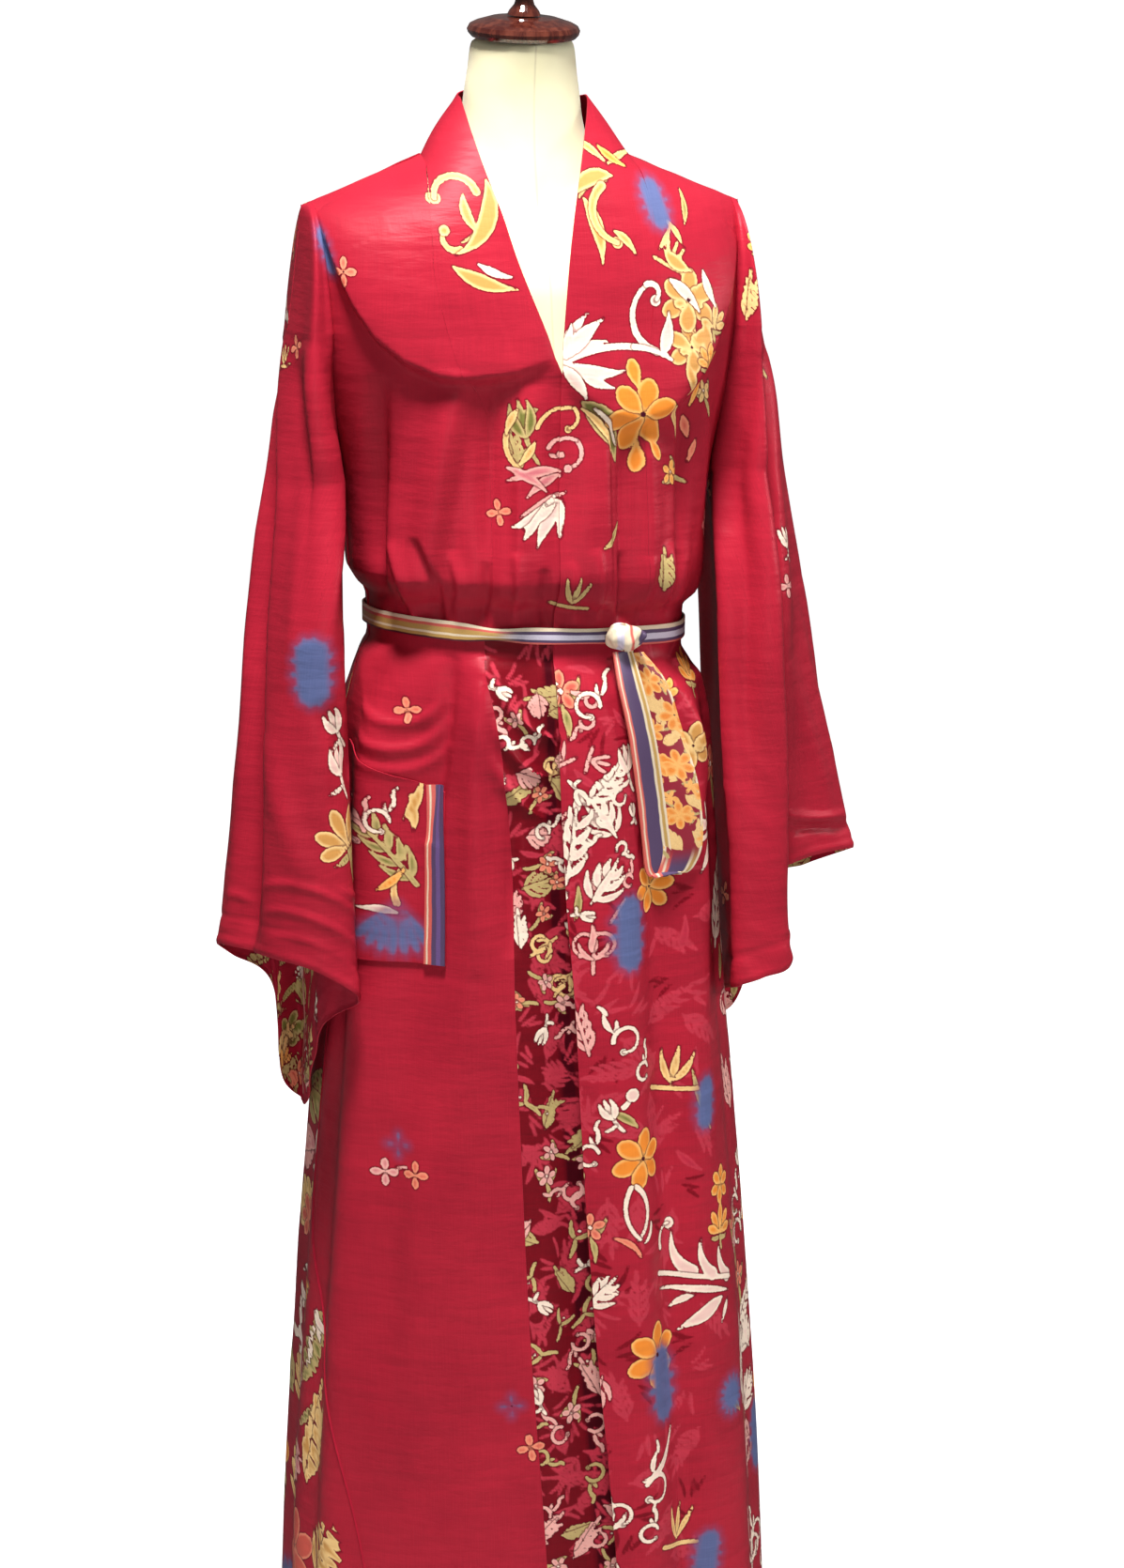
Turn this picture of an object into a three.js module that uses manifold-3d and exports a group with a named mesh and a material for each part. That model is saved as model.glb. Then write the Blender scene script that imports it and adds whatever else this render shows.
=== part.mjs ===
// Kimono duster: a long silk robe with wide hanging sleeves, a neckband and a tied sash, worn by a limbless dress form
// that stands on a pole and a round base. Millimetres, +Z up. The origin is the middle of the base's underside. The
// robe's front faces -Y, and the wearer's right side is -X.
//
// The body of the robe is one surface, skin(angle, height), which every body piece is cut from. The angle is in
// degrees, 0 at the front and growing towards +X. Up to CHEST the height is z itself. Above CHEST each unit is one
// degree of a quarter arc that carries the cloth over the shoulder, so CHEST + 90 is the shoulder line.
import Module from 'manifold-3d';
import * as THREE from 'three';
import { mergeVertices } from 'three/addons/utils/BufferGeometryUtils.js';

const wasm = await Module();
wasm.setup();

// Cloth
const CLOTH = 1.6; // wall of the cloth
const GAP = 0.5; // between neighbouring pieces
const ROUNDNESS = 2.3; // power of the rounded rings, where 2 is an ellipse

// Heights
const HEM = 115;
const BELT = 1062; // middle of the sash at the centre front
const UNDERARM = 1195;
const CHEST = 1325; // drop shoulder seam, where the arc over the shoulder starts
const SIDE_NECK = { x: 92, z: 1476 }; // where the shoulder line meets the neckband
const SHOULDER_SLOPE = 0.4;
const NECK_SLOPE = 0.6; // the same line carried on towards the neck
const SHOULDER_CORNER = 200; // from the centre to the outer corner of the shoulder
const SPREAD = 0.045; // how much wider the body is at the shoulder line than at CHEST
const BACK_NECK_ARC = 42; // degrees of the shoulder arc at the middle of the back neck
const SHOULDER_ARC = 90; // degrees of the whole arc, where front and back meet a gap apart

const BODY_SIDE = 150; // rough half width, for the gaps between the panels
// Rings of the robe's outer face without its folds: half width, and depths in front and behind
const BODY_RINGS = [
  { z: 1325, side: 196, front: 118, back: 104 },
  { z: 1290, side: 189, front: 122, back: 106 },
  { z: 1250, side: 180, front: 122, back: 106 },
  { z: 1195, side: 168, front: 124, back: 104 },
  { z: 1145, side: 163, front: 130, back: 106 },
  { z: 1112, side: 161, front: 134, back: 110 },
  { z: 1095, side: 155, front: 128, back: 105 },
  { z: 1081, side: 144, front: 118, back: 96 },
  { z: 1044, side: 142.5, front: 117, back: 95 },
  { z: 1030, side: 150, front: 122, back: 102 },
  { z: 1005, side: 162, front: 129, back: 112 },
  { z: 960, side: 172, front: 133, back: 121 },
  { z: 880, side: 177, front: 137, back: 128 },
  { z: 770, side: 183, front: 141, back: 134 },
  { z: 640, side: 194, front: 146, back: 141 },
  { z: 507, side: 206, front: 151, back: 149 },
  { z: 376, side: 216, front: 156, back: 158 },
  { z: 250, side: 224, front: 161, back: 166 },
  { z: 115, side: 230, front: 165, back: 173 },
];

// Seams and free edges of the fronts: x where they cross each height. The wearer's left front lies over the right.
const FRONT_LINES = [
  { z: 1476, rightSeam: -92, leftSeam: 92, rightEdge: -55, leftEdge: 40 },
  { z: 1457, rightSeam: -98, leftSeam: 97, rightEdge: -47, leftEdge: 29 },
  { z: 1386, rightSeam: -103, leftSeam: 95, rightEdge: -29, leftEdge: 16 },
  { z: 1310, rightSeam: -84, leftSeam: 84, rightEdge: -3, leftEdge: 5 },
  { z: 1250, rightSeam: -63, leftSeam: 78, rightEdge: 13, leftEdge: 1 },
  { z: 1097, rightSeam: -60, leftSeam: 78, rightEdge: 15, leftEdge: -2 },
  { z: 1048, rightSeam: -63, leftSeam: 77, rightEdge: 14, leftEdge: -3 },
  { z: 968, rightSeam: -53, leftSeam: 80, rightEdge: 20, leftEdge: -3 },
  { z: 833, rightSeam: -45, leftSeam: 83, rightEdge: 27, leftEdge: 0 },
  { z: 741, rightSeam: -44, leftSeam: 84, rightEdge: 29, leftEdge: 7 },
  { z: 593, rightSeam: -40, leftSeam: 88, rightEdge: 34, leftEdge: 14 },
  { z: 450, rightSeam: -35, leftSeam: 97, rightEdge: 39, leftEdge: 23 },
  { z: 250, rightSeam: -23, leftSeam: 113, rightEdge: 51, leftEdge: 39 },
  { z: 115, rightSeam: -15, leftSeam: 122, rightEdge: 59, leftEdge: 47 },
];

// Degrees from the front of the side seams, and of the armhole edge above the underarm
const SIDE_LINES = [
  { z: 1325, right: 67, left: 67 },
  { z: 1195, right: 87, left: 87 },
  { z: 1160, right: 90, left: 90 },
  { z: 620, right: 90, left: 90 },
  { z: 500, right: 86, left: 90 },
  { z: 430, right: 77, left: 90 },
  { z: 352, right: 64, left: 90 },
  { z: 207, right: 50, left: 90 },
  { z: 115, right: 46, left: 90 },
];

// Folds of the body: a ridge or, where out is negative, a trough. It starts at the height from, is full at full, and
// ends at end. at is its angle at the belt, drift the degrees it moves while it runs 1000 mm down.
const FOLDS = [
  { at: -24, drift: 4, from: 1048, full: 985, end: 560, out: 7, width: 6 },
  { at: -41, drift: -6, from: 1048, full: 970, end: 300, out: -7, width: 8 },
  { at: -62, drift: -2, from: 1048, full: 960, end: 0, out: 8, width: 9 },
  { at: -80, drift: 6, from: 1020, full: 900, end: 0, out: -8, width: 8 },
  { at: 8, drift: 8, from: 1048, full: 920, end: 0, out: 7, width: 8 },
  { at: 27, drift: 3, from: 1048, full: 960, end: 0, out: -8, width: 6 },
  { at: 45, drift: 3, from: 1048, full: 960, end: 0, out: 8, width: 8 },
  { at: 68, drift: -3, from: 1048, full: 940, end: 0, out: -8, width: 9 },
  { at: 100, drift: 0, from: 1048, full: 900, end: 0, out: 9, width: 9 },
  { at: 124, drift: 2, from: 1048, full: 960, end: 0, out: -9, width: 9 },
  { at: 148, drift: 0, from: 1048, full: 960, end: 0, out: 10, width: 9 },
  { at: 170, drift: -2, from: 1048, full: 980, end: 0, out: -9, width: 8 },
  { at: 192, drift: 2, from: 1048, full: 960, end: 0, out: 9, width: 8 },
  { at: 214, drift: 0, from: 1048, full: 960, end: 0, out: -9, width: 9 },
  { at: 240, drift: 3, from: 1048, full: 940, end: 0, out: 10, width: 10 },
  { at: 262, drift: 0, from: 1048, full: 900, end: 0, out: -7, width: 8 },
  { at: -15, drift: 0, from: 1180, full: 1100, end: 1081, out: 5, width: 4 },
  { at: -32, drift: 0, from: 1200, full: 1105, end: 1081, out: -5, width: 6 },
  { at: -55, drift: 0, from: 1230, full: 1110, end: 1081, out: 6, width: 7 },
  { at: 20, drift: 0, from: 1190, full: 1105, end: 1081, out: -5, width: 4 },
  { at: 36, drift: 0, from: 1200, full: 1105, end: 1081, out: 5, width: 5 },
  { at: 58, drift: 0, from: 1220, full: 1110, end: 1081, out: -6, width: 6 },
  { at: 140, drift: 0, from: 1210, full: 1105, end: 1081, out: -6, width: 8 },
  { at: 165, drift: 0, from: 1210, full: 1105, end: 1081, out: 6, width: 8 },
  { at: 195, drift: 0, from: 1210, full: 1105, end: 1081, out: 6, width: 8 },
  { at: 220, drift: 0, from: 1210, full: 1105, end: 1081, out: -6, width: 8 },
];

// Heights of the cloth's rows
const SHOULDER_ROWS = [1, 0.8, 0.6, 0.4, 0.2]; // shares of the arc over the shoulder
const ARMHOLE_ROWS = [1325, 1290, 1250, 1222, 1195];
const BODY_ROWS = [1160, 1132, 1112, 1095, 1081, 1044, 1030, 1005, 962, 926, 880, 826, 772, 700, 610, 507, 405, 305, 205, 115];
const FRONT_COLUMNS = 8;
const BACK_COLUMNS = [0, 8, 15, 20.5, 23.5, 34, 45, 56, 67]; // degrees from the middle of the back, at the shoulder
const NECK_COLUMN = 4; // the one of them where the neck hole ends
const BAND_COLUMNS = 3;

// Sleeves: a row for each fold that runs down the tube, from the front inner fold round the outside to the back inner
// fold, and then the inner wall, which starts at the underarm. Distances from the centre plane (x) and from the side
// (y) at the drop shoulder seam, the underarm, the belt and the cuff, and the height of the cuff's edge there.
const RIGHT_SLEEVE = [
  { seamX: 182, seamY: -50, armX: 170, armY: -10, beltX: 184, beltY: -82, cuffX: 178, cuffY: -104, cuffZ: 722 },
  { seamX: 192, seamY: -62, armX: 186, armY: -58, beltX: 204, beltY: -100, cuffX: 214, cuffY: -114, cuffZ: 756 },
  { seamX: 204, seamY: -66, armX: 206, armY: -70, beltX: 228, beltY: -92, cuffX: 252, cuffY: -92, cuffZ: 770 },
  { seamX: 208, seamY: -44, armX: 217, armY: -46, beltX: 236, beltY: -58, cuffX: 264, cuffY: -58, cuffZ: 776 },
  { seamX: 214, seamY: -4, armX: 230, armY: -2, beltX: 246, beltY: -2, cuffX: 284, cuffY: -2, cuffZ: 774 },
  { seamX: 209, seamY: 38, armX: 221, armY: 42, beltX: 238, beltY: 46, cuffX: 268, cuffY: 44, cuffZ: 764 },
  { seamX: 203, seamY: 60, armX: 204, armY: 66, beltX: 222, beltY: 72, cuffX: 240, cuffY: 66, cuffZ: 738 },
  { seamX: 198, seamY: 64, armX: 194, armY: 66, beltX: 212, beltY: 80, cuffX: 229, cuffY: 60, cuffZ: 642 },
  { seamX: 191, seamY: 60, armX: 184, armY: 56, beltX: 200, beltY: 76, cuffX: 202, cuffY: 70, cuffZ: 608 },
  { seamX: 182, seamY: 48, armX: 170, armY: 10, beltX: 186, beltY: 50, cuffX: 201, cuffY: 34, cuffZ: 672 },
  { seamX: 182, seamY: 0, armX: 170, armY: 0, beltX: 182, beltY: -14, cuffX: 199, cuffY: -34, cuffZ: 704 },
];
const LEFT_SLEEVE = [
  { seamX: 182, seamY: -50, armX: 170, armY: -10, beltX: 166, beltY: -76, cuffX: 172, cuffY: -96, cuffZ: 727 },
  { seamX: 191, seamY: -62, armX: 184, armY: -56, beltX: 184, beltY: -96, cuffX: 196, cuffY: -110, cuffZ: 738 },
  { seamX: 202, seamY: -67, armX: 203, armY: -72, beltX: 212, beltY: -94, cuffX: 226, cuffY: -96, cuffZ: 748 },
  { seamX: 206, seamY: -48, armX: 208, armY: -48, beltX: 214, beltY: -60, cuffX: 218, cuffY: -62, cuffZ: 800 },
  { seamX: 212, seamY: -28, armX: 224, armY: -32, beltX: 236, beltY: -44, cuffX: 242, cuffY: -46, cuffZ: 828 },
  { seamX: 220, seamY: -3, armX: 245, armY: -2, beltX: 266, beltY: -2, cuffX: 318, cuffY: -2, cuffZ: 829 },
  { seamX: 214, seamY: 36, armX: 230, armY: 40, beltX: 248, beltY: 44, cuffX: 286, cuffY: 40, cuffZ: 806 },
  { seamX: 206, seamY: 58, armX: 212, armY: 64, beltX: 228, beltY: 64, cuffX: 256, cuffY: 54, cuffZ: 786 },
  { seamX: 199, seamY: 63, armX: 198, armY: 66, beltX: 214, beltY: 70, cuffX: 230, cuffY: 60, cuffZ: 682 },
  { seamX: 192, seamY: 58, armX: 184, armY: 56, beltX: 198, beltY: 68, cuffX: 208, cuffY: 58, cuffZ: 662 },
  { seamX: 182, seamY: 48, armX: 170, armY: 10, beltX: 185, beltY: 48, cuffX: 202, cuffY: 32, cuffZ: 690 },
  { seamX: 182, seamY: 0, armX: 170, armY: 0, beltX: 178, beltY: -14, cuffX: 200, cuffY: -32, cuffZ: 710 },
];
const SLEEVE_BELT_ROWS = [1160, 1125, 1090];
const SLEEVE_CUFF_ROWS = 7; // rows from the belt to the cuff
const SLEEVE_STEPS = 2; // columns between two rows of a sleeve's table
const INNER_WALL = 2; // how many table spans at the end are the inner wall

// Neckband where it stands round the neck: its free edge, from the side of the neck to the middle of the back
const COLLAR = [
  { x: 58, y: -8, z: 1524 },
  { x: 56, y: 16, z: 1526 },
  { x: 48, y: 36, z: 1529 },
  { x: 31, y: 57, z: 1531 },
  { x: 0, y: 68, z: 1532 },
];
const COLLAR_RISE = [ // free edge on the way up from the chest, for the shoulder rows from the seam up
  { right: { x: -28, y: -99, z: 1384 }, left: { x: 16, y: -101, z: 1384 } },
  { right: { x: -39, y: -84, z: 1426 }, left: { x: 24, y: -88, z: 1424 } },
  { right: { x: -49, y: -64, z: 1462 }, left: { x: 34, y: -70, z: 1460 } },
  { right: { x: -55, y: -38, z: 1495 }, left: { x: 46, y: -42, z: 1494 } },
];

// Pocket on the wearer's right front, as rows and columns of the front's own grid, and the trim on its opening
const POCKET = { out: 2.1, rows: [18, 22], columns: [2, 7] };
const TRIM = { out: 4.2, share: 0.8 }; // share of one column that it covers

// Sash
const SASH = { height: 15, wall: 2, out: 3.8, fall: -0.06, reach: 30 };
const KNOT = { x: 57, z: 1059, long: 46, high: 24, deep: 16 };
const LOOP = [ // middle of the hanging half bow, down its front leg and up its back leg
  { x: 56, z: 1049.8, out: 12, wide: 22 },
  { x: 60, z: 1015, out: 12, wide: 28 },
  { x: 69, z: 970, out: 11, wide: 31 },
  { x: 79, z: 920, out: 10.5, wide: 33 },
  { x: 90, z: 872, out: 10.5, wide: 33 },
  { x: 97, z: 850, out: 10, wide: 32 },
  { x: 103, z: 843, out: 7.6, wide: 32 },
  { x: 107, z: 849, out: 5.2, wide: 33 },
  { x: 109, z: 872, out: 5, wide: 35 },
  { x: 104, z: 920, out: 5, wide: 35 },
  { x: 96, z: 970, out: 5.4, wide: 32 },
  { x: 86, z: 1015, out: 6, wide: 28 },
  { x: 70, z: 1049.2, out: 7.5, wide: 18 },
];

// Dress form: closed rings of the torso up to the chest, with their half widths and depths
const TORSO_RINGS = [
  { z: 800, side: 142, front: 92, back: 100 },
  { z: 812, side: 149, front: 99, back: 109 },
  { z: 880, side: 152, front: 103, back: 114 },
  { z: 975, side: 136, front: 98, back: 104 },
  { z: 1064, side: 114, front: 88, back: 84 },
  { z: 1140, side: 127, front: 98, back: 88 },
  { z: 1200, side: 143, front: 113, back: 93 },
  { z: 1250, side: 152, front: 117, back: 95 },
  { z: 1290, side: 157, front: 112, back: 96 },
  { z: 1325, side: 163, front: 105, back: 96 },
];
const TORSO_SHOULDER = 194; // half width across the tips of the shoulders
const TORSO_UNDER = 2.6; // how far the shoulders lie under the robe's outer face
const NECK_FOOT = { x: 92, fall: 0.35 }; // inside this x the shoulder line runs down into the neck
// Rings of the neck, each with its heights at the side, front and back
const NECK_RINGS = [
  { side: 68, front: 52, back: 66, sideZ: 1400, frontZ: 1400, backZ: 1400 },
  { side: 70, front: 54, back: 70, sideZ: 1462, frontZ: 1436, backZ: 1450 },
  { side: 66, front: 49, back: 68, sideZ: 1478, frontZ: 1456, backZ: 1468 },
  { side: 58, front: 44, back: 64, sideZ: 1492, frontZ: 1478, backZ: 1486 },
  { side: 54, front: 42, back: 60, sideZ: 1510, frontZ: 1500, backZ: 1508 },
  { side: 52, front: 42, back: 55, sideZ: 1530, frontZ: 1522, backZ: 1534 },
  { side: 48, front: 46, back: 47, sideZ: 1556, frontZ: 1550, backZ: 1562 },
  { side: 46.5, front: 51, back: 42, sideZ: 1577, frontZ: 1570.7, backZ: 1582.2 },
];
const FORM_COLUMNS = 36;
const NECK_LEAN = 7; // degrees that the top of the neck tips forward
const NECK_TOP = { y: -4.5, z: 1576.45 };
const SEAT = 0.3; // between the hard pieces of the stand

const CAP = { radius: 50, foot: 46, thick: 13, stem: 11, height: 74 };
const POLE = { radius: 14, top: 799.6 };
const BASE = { radius: 165, edge: 12, thick: 24 };

// The value of every column of a table at a place on its key column
function at(table, place, key = 'z') {
  const falling = table[0][key] > table[table.length - 1][key];
  const rows = falling ? [...table].reverse() : table;
  let i = 0;
  while (i < rows.length - 2 && place > rows[i + 1][key]) i += 1;
  const [low, high] = [rows[i], rows[i + 1]];
  const share = THREE.MathUtils.clamp((place - low[key]) / (high[key] - low[key]), 0, 1);
  const found = {};
  for (const name of Object.keys(low)) found[name] = low[name] + (high[name] - low[name]) * share;
  return found;
}

const radians = THREE.MathUtils.degToRad;
const mix = THREE.MathUtils.lerp;
const ease = (value) => THREE.MathUtils.smoothstep(value, 0, 1);
const power = (value, exponent) => Math.sign(value) * Math.abs(value) ** exponent;
const shoulderZ = (x) => {
  const past = SIDE_NECK.x - Math.abs(x);
  return SIDE_NECK.z + past * (past > 0 ? NECK_SLOPE : SHOULDER_SLOPE);
};

// How far the folds push the cloth out at an angle and height
function foldsAt(angle, z) {
  let push = 0;
  for (const fold of FOLDS) {
    if (z > fold.from || z < fold.end) continue;
    const middle = fold.at + (fold.drift * (BELT - z)) / 1000;
    const away = ((angle - middle + 540) % 360) - 180;
    const rise = ease((fold.from - z) / (fold.from - fold.full));
    const fall = fold.end > 0 ? ease((z - fold.end) / Math.min(200, fold.full - fold.end + 1)) : 1;
    push += fold.out * rise * fall * Math.exp(-((away / fold.width) ** 2));
  }
  return push;
}

// Point of a rounded ring with the given half width and depths
function ringPoint(angle, side, front, back, roundness = ROUNDNESS) {
  const turn = radians(angle);
  const along = Math.cos(turn);
  const x = side * power(Math.sin(turn), 2 / roundness);
  const y = -(along > 0 ? front : back) * power(along, 2 / roundness);
  return new THREE.Vector2(x, y);
}

// Carries a point at CHEST over the shoulder: topX is its x on the shoulder line
function overShoulder(point, topX, arc) {
  const rise = Math.sin(radians(arc));
  const x = mix(point.x, topX, rise);
  return new THREE.Vector3(x, point.y * Math.cos(radians(arc)), mix(CHEST, shoulderZ(x), rise));
}

// The outer face of the robe's body
function skin(angle, height) {
  const level = Math.min(height, CHEST);
  const ring = at(BODY_RINGS, level);
  const point = ringPoint(angle, ring.side, ring.front, ring.back);
  point.setLength(point.length() + foldsAt(angle, level));
  const waist = 1 - ease((Math.abs(level - BELT) - SASH.reach) / SASH.reach);
  if (height <= CHEST) return new THREE.Vector3(point.x, point.y, level + SASH.fall * waist * point.x);
  return overShoulder(point, point.x * (1 + SPREAD), height - CHEST);
}

// A point of a surface moved out along its normal
function movedOut(surface, a, b, out, steps = [0.05, 0.05]) {
  const across = surface(a + steps[0], b).sub(surface(a - steps[0], b));
  const up = surface(a, b + steps[1]).sub(surface(a, b - steps[1]));
  return surface(a, b).addScaledVector(across.cross(up).normalize(), out);
}
const body = (angle, height, out = 0) => movedOut(skin, angle, height, out);

// The angle at which the body has a given x, at a height of the robe's surface
function angleOfX(x, height) {
  const arc = Math.max(0, height - CHEST);
  const side = at(BODY_RINGS, Math.min(height, CHEST)).side * (1 + SPREAD * Math.sin(radians(arc)));
  const share = Math.min(1, Math.abs(x) / side) ** (ROUNDNESS / 2);
  return Math.sign(x) * THREE.MathUtils.radToDeg(Math.asin(share));
}

// The angle of one of the front's lines at a height of the robe's surface
function lineAngle(line, height) {
  const rise = Math.sin(radians(Math.max(0, height - CHEST)));
  let x = at(FRONT_LINES, Math.min(height, CHEST))[line];
  for (let i = 0; i < 6; i += 1) {
    const z = mix(Math.min(height, CHEST), shoulderZ(x), rise);
    x = at(FRONT_LINES, z)[line];
  }
  return angleOfX(x, height);
}

const gapAngle = () => THREE.MathUtils.radToDeg((0.8 * GAP) / BODY_SIDE); // over half a gap, in degrees
const sideAngle = (side, height) => at(SIDE_LINES, Math.min(height, CHEST))[side < 0 ? 'right' : 'left'];

// A closed mesh from a list of corners and triangles, with its faces pointing out
function solid(corners, triangles) {
  let volume = 0;
  for (const [a, b, c] of triangles) {
    volume += corners[a].dot(new THREE.Vector3().crossVectors(corners[b], corners[c]));
  }
  const geometry = new THREE.BufferGeometry();
  geometry.setAttribute('position', new THREE.Float32BufferAttribute(corners.flatMap((p) => [p.x, p.y, p.z]), 3));
  geometry.setIndex(triangles.flatMap(([a, b, c]) => (volume > 0 ? [a, b, c] : [a, c, b])));
  geometry.computeVertexNormals();
  return geometry;
}

// A wall of cloth over a grid of rows and columns. point(row, column, depth) is the place at a depth under the outer
// face, has(row, column) says which cells there are, and joined closes the grid into a tube. Free edges get a rim.
function clothWall({ rows, columns, point, wall = CLOTH, has = () => true, joined = false }) {
  const corners = [];
  const numbers = new Map();
  const number = (row, column, depth) => {
    const place = joined ? column % columns : column;
    const key = `${row} ${place} ${depth}`;
    if (!numbers.has(key)) {
      numbers.set(key, corners.length);
      corners.push(point(row, place, depth));
    }
    return numbers.get(key);
  };
  const triangles = [];
  const edges = new Map();
  for (let row = 0; row < rows; row += 1) {
    for (let column = 0; column < columns; column += 1) {
      if (!has(row, column)) continue;
      const cell = [[row, column], [row, column + 1], [row + 1, column + 1], [row + 1, column]];
      for (const depth of [0, wall]) {
        const [a, b, c, d] = cell.map(([r, k]) => number(r, k, depth));
        if (depth === 0) triangles.push([a, b, c], [a, c, d]);
        else triangles.push([a, c, b], [a, d, c]);
      }
      cell.forEach(([r, k], i) => {
        const [nextRow, nextColumn] = cell[(i + 1) % 4];
        const [from, to] = [number(r, k, 0), number(nextRow, nextColumn, 0)];
        if (edges.has(`${to} ${from}`)) edges.delete(`${to} ${from}`);
        else edges.set(`${from} ${to}`, [from, to, number(r, k, wall), number(nextRow, nextColumn, wall)]);
      });
    }
  }
  for (const [from, to, fromInside, toInside] of edges.values()) {
    triangles.push([from, fromInside, toInside], [from, toInside, to]);
  }
  return solid(corners, triangles);
}

// A closed body from rings of equal length, with a flat end at the first and, unless the last ring closes on itself,
// at the last
function loft(rings, ends = 2) {
  const count = rings[0].length;
  const corners = rings.flat();
  const triangles = [];
  for (let ring = 0; ring < rings.length - 1; ring += 1) {
    for (let i = 0; i < count; i += 1) {
      const next = (i + 1) % count;
      const [a, b, c, d] = [ring * count + i, ring * count + next, (ring + 1) * count + next, (ring + 1) * count + i];
      triangles.push([a, b, c], [a, c, d]);
    }
  }
  for (const [start, turned] of [[0, true], [(rings.length - 1) * count, false]].slice(0, ends)) {
    const centre = rings[start / count].reduce((sum, p) => sum.add(p), new THREE.Vector3()).divideScalar(count);
    corners.push(centre);
    for (let i = 0; i < count; i += 1) {
      const pair = [start + i, start + ((i + 1) % count)];
      triangles.push(turned ? [corners.length - 1, pair[1], pair[0]] : [corners.length - 1, pair[0], pair[1]]);
    }
  }
  return solid(corners, triangles);
}

// The sleeve's tube. place counts the table's rows round it, and level is 0 at the drop shoulder seam, 1 at the
// underarm, 2 at the belt and 3 at the cuff.
const LEVELS = ['seam', 'arm', 'belt'];
const LEVEL_Z = [CHEST, UNDERARM, SLEEVE_BELT_ROWS[SLEEVE_BELT_ROWS.length - 1]];
function sleeveKey(table, side, row, level) {
  const fold = table[(row + table.length) % table.length];
  const folds = table.length - INNER_WALL;
  const z = level < 1 ? mix(LEVEL_Z[0], LEVEL_Z[1], level) : level < 2 ? mix(LEVEL_Z[1], LEVEL_Z[2], level - 1) : 0;
  if (level <= 1 && (row === 0 || row === folds)) {
    const face = row === 0 ? 1 : -1;
    const angle = side * (face > 0 ? sideAngle(side, z) : 180 - sideAngle(side, z));
    const edge = skin(angle, z);
    return new THREE.Vector3(Math.abs(edge.x) + GAP, edge.y, z);
  }
  const index = Math.min(2, Math.floor(level));
  const share = level - index;
  const upper = LEVELS[index];
  const lower = index < 2 ? LEVELS[index + 1] : 'cuff';
  const lowZ = index < 2 ? LEVEL_Z[index + 1] : fold.cuffZ;
  return new THREE.Vector3(
    mix(fold[`${upper}X`], fold[`${lower}X`], share),
    mix(fold[`${upper}Y`], fold[`${lower}Y`], share),
    mix(LEVEL_Z[index], lowZ, share),
  );
}
function sleeveSkin(table, side, place, level) {
  const row = Math.floor(place);
  const folds = [row - 1, row, row + 1, row + 2].map((k) => sleeveKey(table, side, (k + table.length) % table.length, level));
  const point = new THREE.Vector3();
  const share = place - row;
  const weights = [
    -0.5 * share + share ** 2 - 0.5 * share ** 3,
    1 - 2.5 * share ** 2 + 1.5 * share ** 3,
    0.5 * share + 2 * share ** 2 - 1.5 * share ** 3,
    -0.5 * share ** 2 + 0.5 * share ** 3,
  ];
  folds.forEach((fold, i) => point.addScaledVector(fold, weights[i]));
  return point;
}

// A point of the shoulder's outer end, which hangs as the top of the sleeve's tube. place counts the sleeve table's
// rows from the armhole edge, front or back, to the outer fold.
function shoulderEnd(table, side, place, arc) {
  const outer = table.findIndex((fold) => fold.seamY > -5);
  const last = table.length - INNER_WALL;
  const share = place <= outer ? place / outer : (last - place) / (last - outer);
  const base = sleeveSkin(table, side, place, 0);
  const edge = Math.abs(skin(side * sideAngle(side, CHEST), CHEST).x) * (1 + SPREAD);
  return overShoulder(new THREE.Vector2(base.x, base.y), mix(edge, SHOULDER_CORNER, share), arc);
}

const mirrored = (point, side) => point.multiply(new THREE.Vector3(side, 1, 1));
const tableOf = (side) => (side < 0 ? RIGHT_SLEEVE : LEFT_SLEEVE);
const outerFold = (side) => tableOf(side).findIndex((fold) => fold.seamY > -5);
const END_COLUMNS = 3; // columns of the shoulder's end, on each face

// A point of the shoulder's end at a column beyond the armhole edge, with a face of 1 in front and -1 behind
function endPoint(side, face, column, arc, depth) {
  const table = tableOf(side);
  const last = table.length - INNER_WALL;
  const span = face > 0 ? outerFold(side) : last - outerFold(side);
  const reach = (column / END_COLUMNS) * (span - 0.03);
  const place = face > 0 ? reach : last - reach;
  const surface = (a, b) => mirrored(shoulderEnd(table, side, a, b), side);
  return apart(movedOut(surface, place, arc, side * -depth, [0.02, 0.5]), face, arc);
}

// Keeps front and back half a gap each from the shoulder line
function apart(point, face, arc) {
  point.y -= face * (GAP / 2) * Math.sin(radians(arc));
  return point;
}

// Rows of the body's pieces from the shoulder down: an arc above CHEST, then heights
const shoulderRows = SHOULDER_ROWS.map((share) => CHEST + share * SHOULDER_ARC);
const frontRows = [...shoulderRows, ...ARMHOLE_ROWS, ...BODY_ROWS];
const lastEndRow = SHOULDER_ROWS.length; // the row at CHEST, where the shoulder's end meets the sleeve

function frontPoint(side, row, column, depth) {
  const height = frontRows[row];
  if (column > FRONT_COLUMNS) return endPoint(side, 1, column - FRONT_COLUMNS, Math.max(0, height - CHEST), depth);
  const from = lineAngle(side < 0 ? 'rightSeam' : 'leftSeam', height) + side * gapAngle();
  const to = side * (sideAngle(side, height) - gapAngle());
  const point = body(mix(from, to, column / FRONT_COLUMNS), height, -depth);
  return apart(point, 1, Math.max(0, height - CHEST));
}
function front(side) {
  return clothWall({
    rows: frontRows.length - 1,
    columns: FRONT_COLUMNS + END_COLUMNS,
    point: (row, column, depth) => frontPoint(side, row, column, depth),
    has: (row, column) => column < FRONT_COLUMNS || row < lastEndRow,
  });
}

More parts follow.
